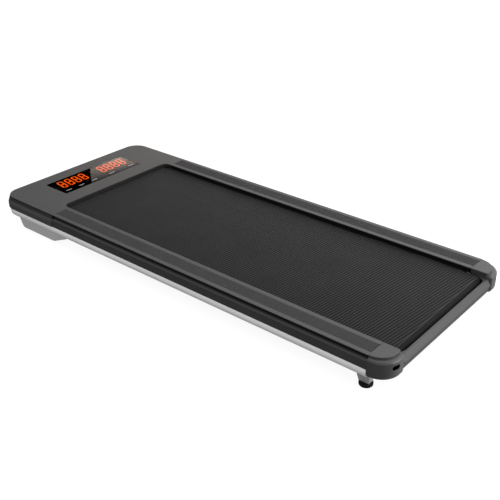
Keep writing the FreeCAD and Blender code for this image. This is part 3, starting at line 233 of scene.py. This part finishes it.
# Brushed metals, with the values that brushed() explains.
BRUSHED = {
    "bright_steel": {"dark": grey(0.50), "light": (0.68, 0.68, 0.67), "rough": (0.18, 0.34),
                     "along": (6, 0.15, 6)},
    "bare_aluminium": {"dark": (0.60, 0.60, 0.61), "light": (0.75, 0.75, 0.76), "rough": (0.25, 0.4),
                       "along": (0.2, 5, 5)},
    "contact_brass": {"dark": (0.65, 0.46, 0.20), "light": (0.80, 0.60, 0.30), "rough": (0.2, 0.35),
                      "along": (6, 0.3, 1)},
}


# ---- node helpers ----
class Graph:
    """Short calls for building a node tree."""

    def __init__(self, tree, space):
        self.tree = tree
        self.place = tree.nodes.new("ShaderNodeTexCoord").outputs[space]

    def node(self, kind, links=(), **values):
        """A new node. links are (input, socket or number) pairs, values are the node's own settings."""
        made = self.tree.nodes.new(kind)
        for key, value in values.items():
            setattr(made, key, value)
        for key, value in links:
            if isinstance(value, bpy.types.NodeSocket):
                self.tree.links.new(value, made.inputs[key])
            else:
                made.inputs[key].default_value = value
        return made

    def turned(self, angle=0.0, stretch=(1, 1, 1)):
        """The place, turned about Z and stretched."""
        return self.node("ShaderNodeMapping", [("Vector", self.place), ("Rotation", (0, 0, angle)),
                                               ("Scale", stretch)]).outputs["Vector"]

    def parts(self, place):
        """The X, Y and Z of a place or direction."""
        return self.node("ShaderNodeSeparateXYZ", [("Vector", place)]).outputs

    def height(self):
        """The Z of each point in its object's own space."""
        return self.parts(self.node("ShaderNodeTexCoord").outputs["Object"])["Z"]

    def noise(self, size, detail=3.0, place=None):
        """Noise from 0 to 1 with features about size metres across."""
        return self.node("ShaderNodeTexNoise", [("Vector", place or self.place), ("Scale", 1 / size),
                                                ("Detail", detail)]).outputs["Fac"]

    def cells(self, size):
        """The distance to the nearest of many scattered points, about size metres apart."""
        cells = self.node("ShaderNodeTexVoronoi", [("Vector", self.place), ("Scale", 1 / size)])
        return cells.outputs["Distance"]

    def ridges(self, period, angle):
        """Parallel ridges, from 0 in the valleys to 1 on the crests."""
        return self.node("ShaderNodeTexWave", [("Vector", self.turned(angle)),
                                               ("Scale", math.pi / 10 / period)],
                         wave_type="BANDS", bands_direction="X").outputs["Fac"]

    def math(self, operation, a, b=0.0):
        """One step of arithmetic on sockets or numbers."""
        return self.node("ShaderNodeMath", [(0, a), (1, b)], operation=operation).outputs[0]

    def plus(self, a, b):
        return self.math("ADD", a, b)

    def times(self, a, b):
        return self.math("MULTIPLY", a, b)

    def shared(self, share, a, b):
        """a by its share, and b by the rest."""
        return self.plus(self.times(a, share), self.times(b, 1.0 - share))

    def scaled(self, value, low, high, start=0.0, end=1.0):
        """value, from start to end, turned into low to high."""
        return self.node("ShaderNodeMapRange", [("Value", value), ("From Min", start), ("From Max", end),
                                                ("To Min", low), ("To Max", high)]).outputs["Result"]

    def between(self, value, low, high, soft):
        """1 where value lies from low to high, falling to 0 over soft outside them."""
        return self.times(self.scaled(value, 0.0, 1.0, low - soft, low),
                          self.scaled(value, 1.0, 0.0, high, high + soft))

    def shades(self, value, dark, light, start=0.3, end=0.7):
        """A colour ramp from dark, where value is start or less, to light, where it is end or more."""
        ramp = self.node("ShaderNodeValToRGB", [("Fac", value)])
        for element, position, colour in zip(ramp.color_ramp.elements, (start, end), (dark, light)):
            element.position = position
            element.color = (*colour, 1)
        return ramp.outputs["Color"]

    def over(self, share, below, above):
        """One colour over another, by share."""
        mix = self.node("ShaderNodeMix", data_type="RGBA")
        for index, value in ((0, share), (6, below), (7, above)):
            if isinstance(value, bpy.types.NodeSocket):
                self.tree.links.new(value, mix.inputs[index])
            else:
                mix.inputs[index].default_value = (*value, 1) if index else value
        return mix.outputs[2]

    def edge(self, radius):
        """The surface's direction with its sharp edges rounded, and how near an edge each point is."""
        bevel = self.node("ShaderNodeBevel", [("Radius", radius)], samples=6).outputs["Normal"]
        flat = self.node("ShaderNodeNewGeometry").outputs["Normal"]
        same = self.node("ShaderNodeVectorMath", [(0, bevel), (1, flat)], operation="DOT_PRODUCT")
        return bevel, self.scaled(same.outputs["Value"], 1.0, 0.0, 0.8, 0.995)

    def bump(self, height, depth, normal=None):
        """The surface's direction with a relief of that depth."""
        links = [("Height", height), ("Distance", depth), ("Strength", 1.0)]
        if normal is not None:
            links.append(("Normal", normal))
        return self.node("ShaderNodeBump", links).outputs["Normal"]


class Finish(Graph):
    """A material being built round one Principled shader."""

    def __init__(self, name, space="Object"):
        self.material = bpy.data.materials.new(name)
        self.material.use_nodes = True
        self.material.node_tree.nodes.clear()
        super().__init__(self.material.node_tree, space)
        self.shader = self.tree.nodes.new("ShaderNodeBsdfPrincipled")
        output = self.tree.nodes.new("ShaderNodeOutputMaterial")
        self.tree.links.new(self.shader.outputs["BSDF"], output.inputs["Surface"])

    def feed(self, **inputs):
        """Sockets or constants for the shader's inputs, with _ in a name for a space."""
        for key, value in inputs.items():
            socket = self.shader.inputs[key.replace("_", " ")]
            if isinstance(value, bpy.types.NodeSocket):
                self.tree.links.new(value, socket)
            else:
                socket.default_value = value


# ---- materials ----
def groove_shade_mask(f):
    """Where shade is painted: 1 in the groove under the top lip, fading out down the outer wall."""
    height = f.height()
    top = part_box("hood_shell")[1].z - LIP
    bottom = top - GROOVE_HEIGHT
    return f.times(f.scaled(height, 0.0, 1.0, bottom - GROOVE_FADE, bottom + GROOVE_FADE),
                   f.scaled(height, 1.0, 0.0, top - LIP_FADE, top))


def moulded(name, dark, light, rough, grain, depth, specular=0.5, worn=None, metallic=0.0, blotch=60 * MM,
            groove=None, lower=None):
    """Moulded or painted surface: colour drifting between two shades, a fine grain, and edges rubbed lighter.

    dark and light are the shades, and blotch the size of the patches in which they drift.
    rough is the range of the roughness, grain the size of the grain, and depth its relief.
    worn is the shade of the rubbed edges.
    groove is the painted shade in the groove under the top lip: its colour, and the metallic share that cuts
    its reflection.
    lower is (from, to, share): painted shade, the colour sinking to that share between those heights.
    """
    f = Finish(name)
    drift = f.noise(blotch, 4.0)
    fine = f.noise(grain, 2.0)
    pits = f.cells(grain * PIT_SPACING)
    colour = f.shades(f.shared(0.7, drift, fine), dark, light)
    normal = None
    if worn:
        normal, near = f.edge(EDGE_WEAR)
        rubbed = f.times(near, f.scaled(f.noise(EDGE_WEAR_PATCH, 4.0), 0.25, 1.0, 0.35, 0.65))
        colour = f.over(rubbed, colour, worn)
    # Painted shade: darker towards the bottom between the given heights.
    if lower:
        start, end, share = lower
        colour = f.over(f.scaled(f.height(), 0.0, 1.0 - share, start, end), colour, grey(0))
    # Painted shade: the groove under the top lip is coloured near black, and metallic cuts its reflection.
    if groove:
        shade, reflection_cut = groove
        painted_groove_shade = groove_shade_mask(f)
        colour = f.over(painted_groove_shade, colour, grey(shade))
        metallic = f.times(painted_groove_shade, reflection_cut)
    f.feed(Base_Color=colour, Metallic=metallic, Specular_IOR_Level=specular,
           Roughness=f.scaled(f.shared(0.5, drift, pits), *rough, 0.2, 0.8),
           Normal=f.bump(f.plus(f.times(fine, 0.5), pits), depth, normal))
    return f.material


def brushed(name, dark, light, rough, along):
    """Metal with fine scratches along one direction, given as a stretch of the place."""
    f = Finish(name)
    lines = f.noise(SCRATCH_WIDTH, 3.0, f.turned(0, along))
    drift = f.noise(25 * MM, 3.0)
    f.feed(Base_Color=f.shades(f.shared(0.5, lines, drift), dark, light), Metallic=1.0,
           Roughness=f.scaled(lines, *rough, 0.3, 0.7), Normal=f.bump(lines, SCRATCH_RELIEF))
    return f.material


def belt_rubber():
    """Belt surface: diamond weave with lighter crests, dusty in patches, with painted shade where it turns
    down and a painted highlight line above that.
    """
    f = Finish("belt_rubber", "UV")
    diamonds = f.math("MAXIMUM", f.ridges(BELT_PITCH, BELT_ANGLE), f.ridges(BELT_PITCH, -BELT_ANGLE))
    weave = f.shared(BELT_WEAVE_SHARE, diamonds, f.ridges(BELT_ROW_PITCH, BELT_ROW_ANGLE))
    drift = f.noise(BELT_DUST, 4.0)
    fine = f.noise(BELT_GRAIN, 2.0)
    clean = f.shades(weave, grey(0.001), (0.023, 0.023, 0.024), 0.25, 0.9)
    dusty = f.shades(weave, grey(0.0015), (0.027, 0.027, 0.028), 0.25, 0.9)
    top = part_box("walking_belt")[1].z
    edge = top - BELT_TURN_DOWN
    height = f.height()
    # Painted shade where the belt turns down round a roller, and a painted highlight line just above it.
    turn_shade = f.scaled(height, 1.0, 0.0, edge - BELT_TURN_FADE, edge)
    turn_highlight = f.scaled(height, 1.0, 0.0, edge, top)
    surface = f.over(f.scaled(drift, 0.0, 1.0, 0.35, 0.7), clean, dusty)
    surface = f.over(f.scaled(turn_highlight, 0.0, 0.8, 0.5, 0.8), surface, grey(0.035))
    f.feed(Base_Color=f.over(turn_shade, surface, grey(0.004)), Specular_IOR_Level=0.12,
           Roughness=f.scaled(f.plus(f.times(weave, -0.5), fine), 0.62, 0.85, -0.2, 0.6),
           Normal=f.bump(f.plus(weave, f.times(fine, 0.15)), BELT_RELIEF))
    return f.material


def smoked_glass():
    """Smoked acrylic, polished, with a trace of smears."""
    f = Finish("lens_glass")
    smears = f.noise(30 * MM, 5.0, f.turned(0.5, (1, 3, 1)))
    f.feed(Base_Color=f.shades(smears, (0.48, 0.47, 0.46), (0.52, 0.51, 0.50)), Specular_IOR_Level=0.5,
           Roughness=f.scaled(smears, 0.004, 0.02, 0.4, 0.7), Transmission_Weight=1.0, IOR=1.49)
    return f.material


def lit(name, colour, bright, strength):
    """A lit surface that drifts between two colours."""
    f = Finish(name)
    glow = f.shades(f.noise(4 * MM, 2.0), colour, bright)
    f.feed(Base_Color=glow, Roughness=0.4, Emission_Color=glow, Emission_Strength=strength)
    return f.material


def circuit_board():
    """Solder mask over copper tracks, with through holes."""
    f = Finish("circuit_board")
    lines = f.math("MAXIMUM", f.ridges(5 * MM, 0.0), f.ridges(7 * MM, math.pi / 2))
    tracks = f.math("GREATER_THAN", lines, 0.93)
    holes = f.math("LESS_THAN", f.cells(3 * MM), 0.18)
    drift = f.noise(12 * MM)
    mask = f.shades(drift, (0.004, 0.030, 0.012), (0.007, 0.045, 0.018))
    board = f.over(f.times(tracks, 0.6), mask, (0.02, 0.11, 0.04))
    f.feed(Base_Color=f.over(holes, board, (0.55, 0.50, 0.38)), Roughness=f.scaled(drift, 0.28, 0.42),
           Normal=f.bump(f.plus(tracks, holes), 0.05 * MM))
    return f.material


def deck_board():
    """Waxed fibreboard: dark film with long scuffs and a speckle of fibres."""
    f = Finish("deck_board")
    fibres = f.noise(1.2 * MM, 5.0, f.turned(0.3, (1, 4, 4)))
    scuffs = f.noise(20 * MM, 5.0, f.turned(0, (0.2, 3, 1)))
    film = f.shades(fibres, (0.010, 0.009, 0.008), (0.022, 0.019, 0.016))
    f.feed(Base_Color=f.over(f.scaled(scuffs, 0.0, 0.5, 0.5, 0.75), film, (0.07, 0.065, 0.06)),
           Roughness=f.scaled(scuffs, 0.35, 0.65), Normal=f.bump(fibres, 0.08 * MM))
    return f.material


def wire_sleeve():
    """Lead sleeves: red, black and blue by where they run, faintly wavy."""
    f = Finish("wire_sleeve")
    across = f.scaled(f.parts(f.place)["X"], 0.0, 1.0, -0.60, -0.50)
    front = f.shades(across, (0.45, 0.02, 0.015), (0.012, 0.012, 0.013), 0.3, 0.5)
    rear = f.scaled(across, 0.0, 1.0, 0.5, 0.7)
    f.feed(Base_Color=f.over(rear, front, (0.01, 0.04, 0.30)),
           Roughness=f.scaled(f.noise(5 * MM), 0.35, 0.55), Normal=f.bump(f.noise(1 * MM), 0.03 * MM))
    return f.material


# One material for each of the record's slots.
FINISHES = {name: moulded(name, **values) for name, values in MOULDED.items()}
FINISHES.update({name: brushed(name, **values) for name, values in BRUSHED.items()})
FINISHES.update({
    "belt_rubber": belt_rubber(),
    "deck_board": deck_board(),
    "lens_glass": smoked_glass(),
    "led_orange": lit("led_orange", (1.0, 0.085, 0.0), (1.0, 0.12, 0.0), 2.7),
    "circuit_board": circuit_board(),
    "wire_sleeve": wire_sleeve(),
})
CLOSER_FINISHES = {name: moulded(name, **values) for name, values in CLOSER.items()}
# The printed legends glow: painted light.
CLOSER_FINISHES["legend_glow"] = lit("legend_glow", grey(0.85), grey(0.95), 0.9)


def dress_cad_nodes():
    """Gives each CAD node the finish of the material slot it was packed with, or a closer one."""
    for name, node in frame["nodes"].items():
        for slot in node.material_slots:
            if name in CLOSER_BY_NODE:
                slot.material = CLOSER_FINISHES[CLOSER_BY_NODE[name]]
            else:
                slot.material = FINISHES[slot.material.name.split(".")[0]]


# ---- mesh helpers ----
def mesh_data(name, made):
    """A bmesh turned into mesh data."""
    data = bpy.data.meshes.new(name)
    made.to_mesh(data)
    made.free()
    return data


def add_piece(name, mesh, body, slot, finish=None):
    """Links a mesh as a piece that rides on a CAD body and wears its slot's finish, or a closer one."""
    piece = bpy.data.objects.new(name, mesh)
    bpy.context.scene.collection.objects.link(piece)
    mesh.materials.append(finish or FINISHES[slot])
    for polygon in mesh.polygons:
        polygon.use_smooth = True
    mesh.set_sharp_from_angle(angle=SMOOTH_ANGLE)
    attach(piece, body)
    return piece


def arc(x, y, radius, start, end, steps):
    """Points on an arc about (x, y), from one direction to another in degrees."""
    turns = [math.radians(start + (end - start) * step / steps) for step in range(steps + 1)]
    return [(x + radius * math.cos(turn), y + radius * math.sin(turn)) for turn in turns]


def loft(name, rings, closed=False):
    """A mesh through rings of points with the same count, and a UV map in metres along and across."""
    mesh = bmesh.new()
    layer = mesh.loops.layers.uv.new("surface")
    made = [[mesh.verts.new(point) for point in ring] for ring in rings]
    count = len(rings[0])
    along = [0.0]
    for before, after in zip(rings, rings[1:] + rings[:1]):
        along.append(along[-1] + (Vector(after[0]) - Vector(before[0])).length)
    spans = len(rings) if closed else len(rings) - 1
    for i in range(spans):
        first = made[i]
        second = made[(i + 1) % len(made)]
        for j in range(count):
            k = (j + 1) % count
            face = mesh.faces.new((first[j], first[k], second[k], second[j]))
            for loop, distance in zip(face.loops, (along[i], along[i], along[i + 1], along[i + 1])):
                loop[layer].uv = (distance, loop.vert.co.y)
    if not closed:
        mesh.faces.new(list(reversed(made[0])))
        mesh.faces.new(made[-1])
    bmesh.ops.recalc_face_normals(mesh, faces=mesh.faces)
    return mesh_data(name, mesh)


def rounded_ring(low, high, radius, z, inset=0.0):
    """Points round a rectangle with rounded corners, level at z."""
    points = []
    corners = ((high.x - radius, high.y - radius, 0), (low.x + radius, high.y - radius, 90),
               (low.x + radius, low.y + radius, 180), (high.x - radius, low.y + radius, 270))
    for corner_x, corner_y, start in corners:
        for x, y in arc(corner_x, corner_y, radius - inset, start, start + 90, CORNER_STEPS):
            points.append((x, y, z))
    return points


def plate_mesh(name, places, radius, bottom, top, ease):
    """One or more level plates with rounded corners and eased top edges, from (low, high) corners."""
    whole = bmesh.new()
    for low, high in places:
        rings = [rounded_ring(low, high, radius, bottom), rounded_ring(low, high, radius, top - ease),
                 rounded_ring(low, high, radius, top, ease)]
        part = loft(name, rings)
        whole.from_mesh(part)
        bpy.data.meshes.remove(part)
    return mesh_data(name, whole)


def lathe(name, profile, centre, axis):
    """A solid of revolution from a closed profile of (radius, distance along the axis)."""
    along = Vector(axis)
    side = along.orthogonal().normalized()
    up = along.cross(side)
    rings = []
    for step in range(LATHE_STEPS):
        turn = 2 * math.pi * step / LATHE_STEPS
        out = side * math.cos(turn) + up * math.sin(turn)
        rings.append([tuple(Vector(centre) + out * r + along * a) for r, a in profile])
    return loft(name, rings, closed=True)


# ---- walking belt ----
def walking_belt():
    """The belt as one loop round both rollers, with rounded edges and an even UV map for its weave."""
    low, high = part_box("walking_belt")
    middle = (low.z + high.z) / 2
    outer = (high.z - low.z) / 2
    front = low.x + outer
    rear = high.x - outer
    path = []
    for start, end, facing in ((front, rear, 90.0), (rear, front, 270.0)):
        path += [(start + (end - start) * step / BELT_RUN_STEPS, facing) for step in range(BELT_RUN_STEPS)]
        path += [(end, facing - 180.0 * step / BELT_TURN_STEPS) for step in range(BELT_TURN_STEPS)]
    edge = high.y - BELT_EDGE_ROUND
    section = arc(edge, outer - BELT_EDGE_ROUND, BELT_EDGE_ROUND, 90, 0, EDGE_STEPS)
    section += arc(edge, outer - BELT_THICKNESS + BELT_EDGE_ROUND, BELT_EDGE_ROUND, 0, -90, EDGE_STEPS)
    section += [(-across, reach) for across, reach in reversed(section)]
    rings = []
    for x, facing in path:
        out_x = math.cos(math.radians(facing))
        out_z = math.sin(math.radians(facing))
        rings.append([(x + reach * out_x, across, middle + reach * out_z) for across, reach in section])
    piece = add_piece("belt_loop", loft("belt_loop", rings, closed=True), "frame", "belt_rubber")
    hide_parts("walking_belt")


# ---- display ----
def display():
    """Black mask round the digits under the window, with short generic legends printed on it, glowing as
    painted light.
    """
    window_low, window_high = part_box("display_lens")
    modules_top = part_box("led_modules")[1].z
    margin = Vector((MASK_MARGIN, MASK_MARGIN, 0))
    mask_top = modules_top + MASK_THICKNESS
    mask = plate_mesh("display_mask", [(window_low + margin, window_high - margin)], MASK_CORNER,
                      modules_top + MASK_GAP, mask_top, MASK_EASE)
    add_piece("display_mask", mask, "frame", "black_plastic", CLOSER_FINISHES["mask_ink"])
    bars = []
    for y in LEGEND_PLACES:
        for offset, length in LEGEND_BARS:
            middle = Vector((LEGEND_X, y + offset, 0))
            half = Vector((LEGEND_HEIGHT / 2, length / 2, 0))
            bars.append((middle - half, middle + half))
    legends = plate_mesh("display_legends", bars, LEGEND_CORNER, mask_top, mask_top + LEGEND_THICKNESS,
                         LEGEND_EASE)
    add_piece("display_legends", legends, "frame", "button_white", CLOSER_FINISHES["legend_glow"])


# ---- feet and wheels ----
def foot_pads():
    """Rubber pads with a ribbed side, tread rings underneath and a socket for the screw."""
    for side in ("left", "right"):
        low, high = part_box("foot_pad_" + side)
        radius = (high.x - low.x) / 2
        height = high.z - low.z
        profile = [(PAD_CORE, PAD_TREAD_DEPTH)]
        for ring in range(PAD_TREAD_RINGS):
            inner = PAD_TREAD_PITCH * (1 + ring)
            outer = inner + PAD_TREAD_WIDTH
            profile += [(inner, PAD_TREAD_DEPTH), (inner + PAD_FLANK, 0), (outer - PAD_FLANK, 0),
                        (outer, PAD_TREAD_DEPTH)]
        profile += [(radius - 1.2 * MM, 0.6 * MM), (radius - 0.3 * MM, 1.8 * MM)]
        for rib in range(PAD_RIBS):
            foot = PAD_RIB_FOOT + PAD_RIB_PITCH * rib
            head = foot + PAD_RIB_HEIGHT
            profile += [(radius, foot), (radius, head), (radius - PAD_RIB_DEPTH, head + PAD_FLANK)]
        profile += [(radius - 1.4 * MM, height), (5.2 * MM, height), (PAD_SOCKET, height - 0.8 * MM),
                    (PAD_SOCKET, PAD_SOCKET), (PAD_CORE, PAD_SOCKET)]
        name = "ribbed_pad_" + side
        centre = ((low.x + high.x) / 2, (low.y + high.y) / 2, low.z)
        piece = add_piece(name, lathe(name, profile, centre, (0, 0, 1)), "foot_" + side, "cushion_rubber")
        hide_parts("foot_pad_" + side)


def transport_wheels():
    """Wheels with tread grooves, dished sides and a raised hub."""
    for side in ("left", "right"):
        low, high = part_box("transport_wheel_" + side)
        radius = (high.z - low.z) / 2
        half = (high.y - low.y) / 2
        dish = WHEEL_DISH - half
        shoulder = half - WHEEL_SHOULDER
        face = [(WHEEL_BORE, -half), (WHEEL_HUB, -half), (WHEEL_HUB + 0.4 * MM, dish),
                (WHEEL_RIM - 0.6 * MM, dish), (WHEEL_RIM, -half), (radius - 2 * MM, -half),
                (radius - 0.5 * MM, -half + 0.6 * MM)]
        tread = [(radius, -shoulder)]
        for groove in (-1, 0, 1):
            y = groove * WHEEL_GROOVE_PITCH
            bottom = radius - WHEEL_GROOVE_DEPTH
            tread += [(radius, y - WHEEL_GROOVE_TOP), (bottom, y - WHEEL_GROOVE_BOTTOM),
                      (bottom, y + WHEEL_GROOVE_BOTTOM), (radius, y + WHEEL_GROOVE_TOP)]
        tread.append((radius, shoulder))
        profile = face + tread + [(r, -a) for r, a in reversed(face)]
        name = "treaded_wheel_" + side
        centre = ((low.x + high.x) / 2, (low.y + high.y) / 2, (low.z + high.z) / 2)
        piece = add_piece(name, lathe(name, profile, centre, (0, 1, 0)), "wheel_" + side, "black_plastic")
        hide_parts("transport_wheel_" + side)


# ---- set ----
def floor():
    """A wide pale floor with a faint mottle, lit evenly from below like a light table."""
    f = Finish("floor")
    drift = f.noise(1.5, 3.0)
    fine = f.noise(8 * MM, 2.0)
    f.feed(Base_Color=f.shades(drift, grey(0.12), grey(0.13)), Specular_IOR_Level=0.2,
           Emission_Color=f.shades(drift, grey(0.99), grey(1.0)), Emission_Strength=FLOOR_GLOW,
           Roughness=f.scaled(fine, 0.7, 0.85), Normal=f.bump(fine, 0.02 * MM))
    mesh = bmesh.new()
    bmesh.ops.create_grid(mesh, x_segments=8, y_segments=8, size=FLOOR_SIZE / 2)
    data = mesh_data("floor", mesh)
    data.materials.append(f.material)
    piece = bpy.data.objects.new("floor", data)
    piece.visible_glossy = False
    bpy.context.scene.collection.objects.link(piece)


def softbox(name, place, target, size, power):
    """A square area light that faces its target."""
    light = bpy.data.lights.new(name, "AREA")
    light.shape = "SQUARE"
    light.size = size
    light.energy = power
    lamp = bpy.data.objects.new(name, light)
    bpy.context.scene.collection.objects.link(lamp)
    lamp.location = place
    lamp.rotation_euler = (Vector(target) - Vector(place)).to_track_quat("-Z", "Y").to_euler()


def world():
    """White above the horizon and dark under it, brighter on two sides, with a dark card and a lit strip."""
    made = bpy.data.worlds.new("studio")
    made.use_nodes = True
    g = Graph(made.node_tree, "Generated")
    way = g.parts(g.place)
    turn = g.math("DEGREES", g.math("ARCTAN2", way["Y"], way["X"]))
    rise = g.math("DEGREES", g.math("ARCSINE", way["Z"]))
    above = g.scaled(rise, 0.0, 1.0, *HORIZON)
    sky_glow = g.between(turn, *SKY_GLOW_TURN, SKY_GLOW_SOFT)
    ground_glow = g.between(turn, *GROUND_GLOW_TURN, GROUND_GLOW_SOFT)
    sky = g.plus(SKY_STRENGTH, g.times(sky_glow, SKY_GLOW))
    ground = g.plus(GROUND_STRENGTH, g.times(ground_glow, GROUND_GLOW))
    dome = g.plus(g.times(above, sky), g.times(g.math("SUBTRACT", 1.0, above), ground))
    card = g.times(g.between(turn, *CARD_TURN, CARD_SOFT), g.between(rise, *CARD_RISE, CARD_SOFT))
    climb = g.times(g.math("SUBTRACT", turn, STRIP_TURN[0]), STRIP_SLOPE)
    level = g.math("SUBTRACT", rise, climb)
    height = g.times(g.scaled(level, 1.0, 0.0, *STRIP_RISE), g.math("LESS_THAN", turn, STRIP_TURN[1]))
    strip = g.times(g.scaled(turn, *STRIP_STRENGTH, *STRIP_TURN), height)
    lit_card = g.times(card, strip)
    strength = g.plus(g.times(dome, g.math("SUBTRACT", 1.0, card)), lit_card)
    background = made.node_tree.nodes["Background"]
    made.node_tree.links.new(strength, background.inputs["Strength"])
    made.node_tree.links.new(g.over(lit_card, grey(1), STRIP_COLOUR), background.inputs["Color"])
    bpy.context.scene.world = made


def camera():
    """The camera that sees the treadmill from its left and rear."""
    data = bpy.data.cameras.new("camera")
    data.lens = CAMERA_LENS
    data.sensor_width = CAMERA_SENSOR
    data.clip_start, data.clip_end = CAMERA_CLIP
    made = bpy.data.objects.new("camera", data)
    bpy.context.scene.collection.objects.link(made)
    made.location = CAMERA_PLACE
    made.rotation_euler = (math.pi / 2 - CAMERA_PITCH, 0, CAMERA_AZIMUTH)
    bpy.context.scene.camera = made


dress_cad_nodes()
walking_belt()
display()
foot_pads()
transport_wheels()
floor()
world()
for softbox_values in SOFTBOXES:
    softbox(*softbox_values)
camera()
bpy.context.scene.view_settings.view_transform = "Standard"
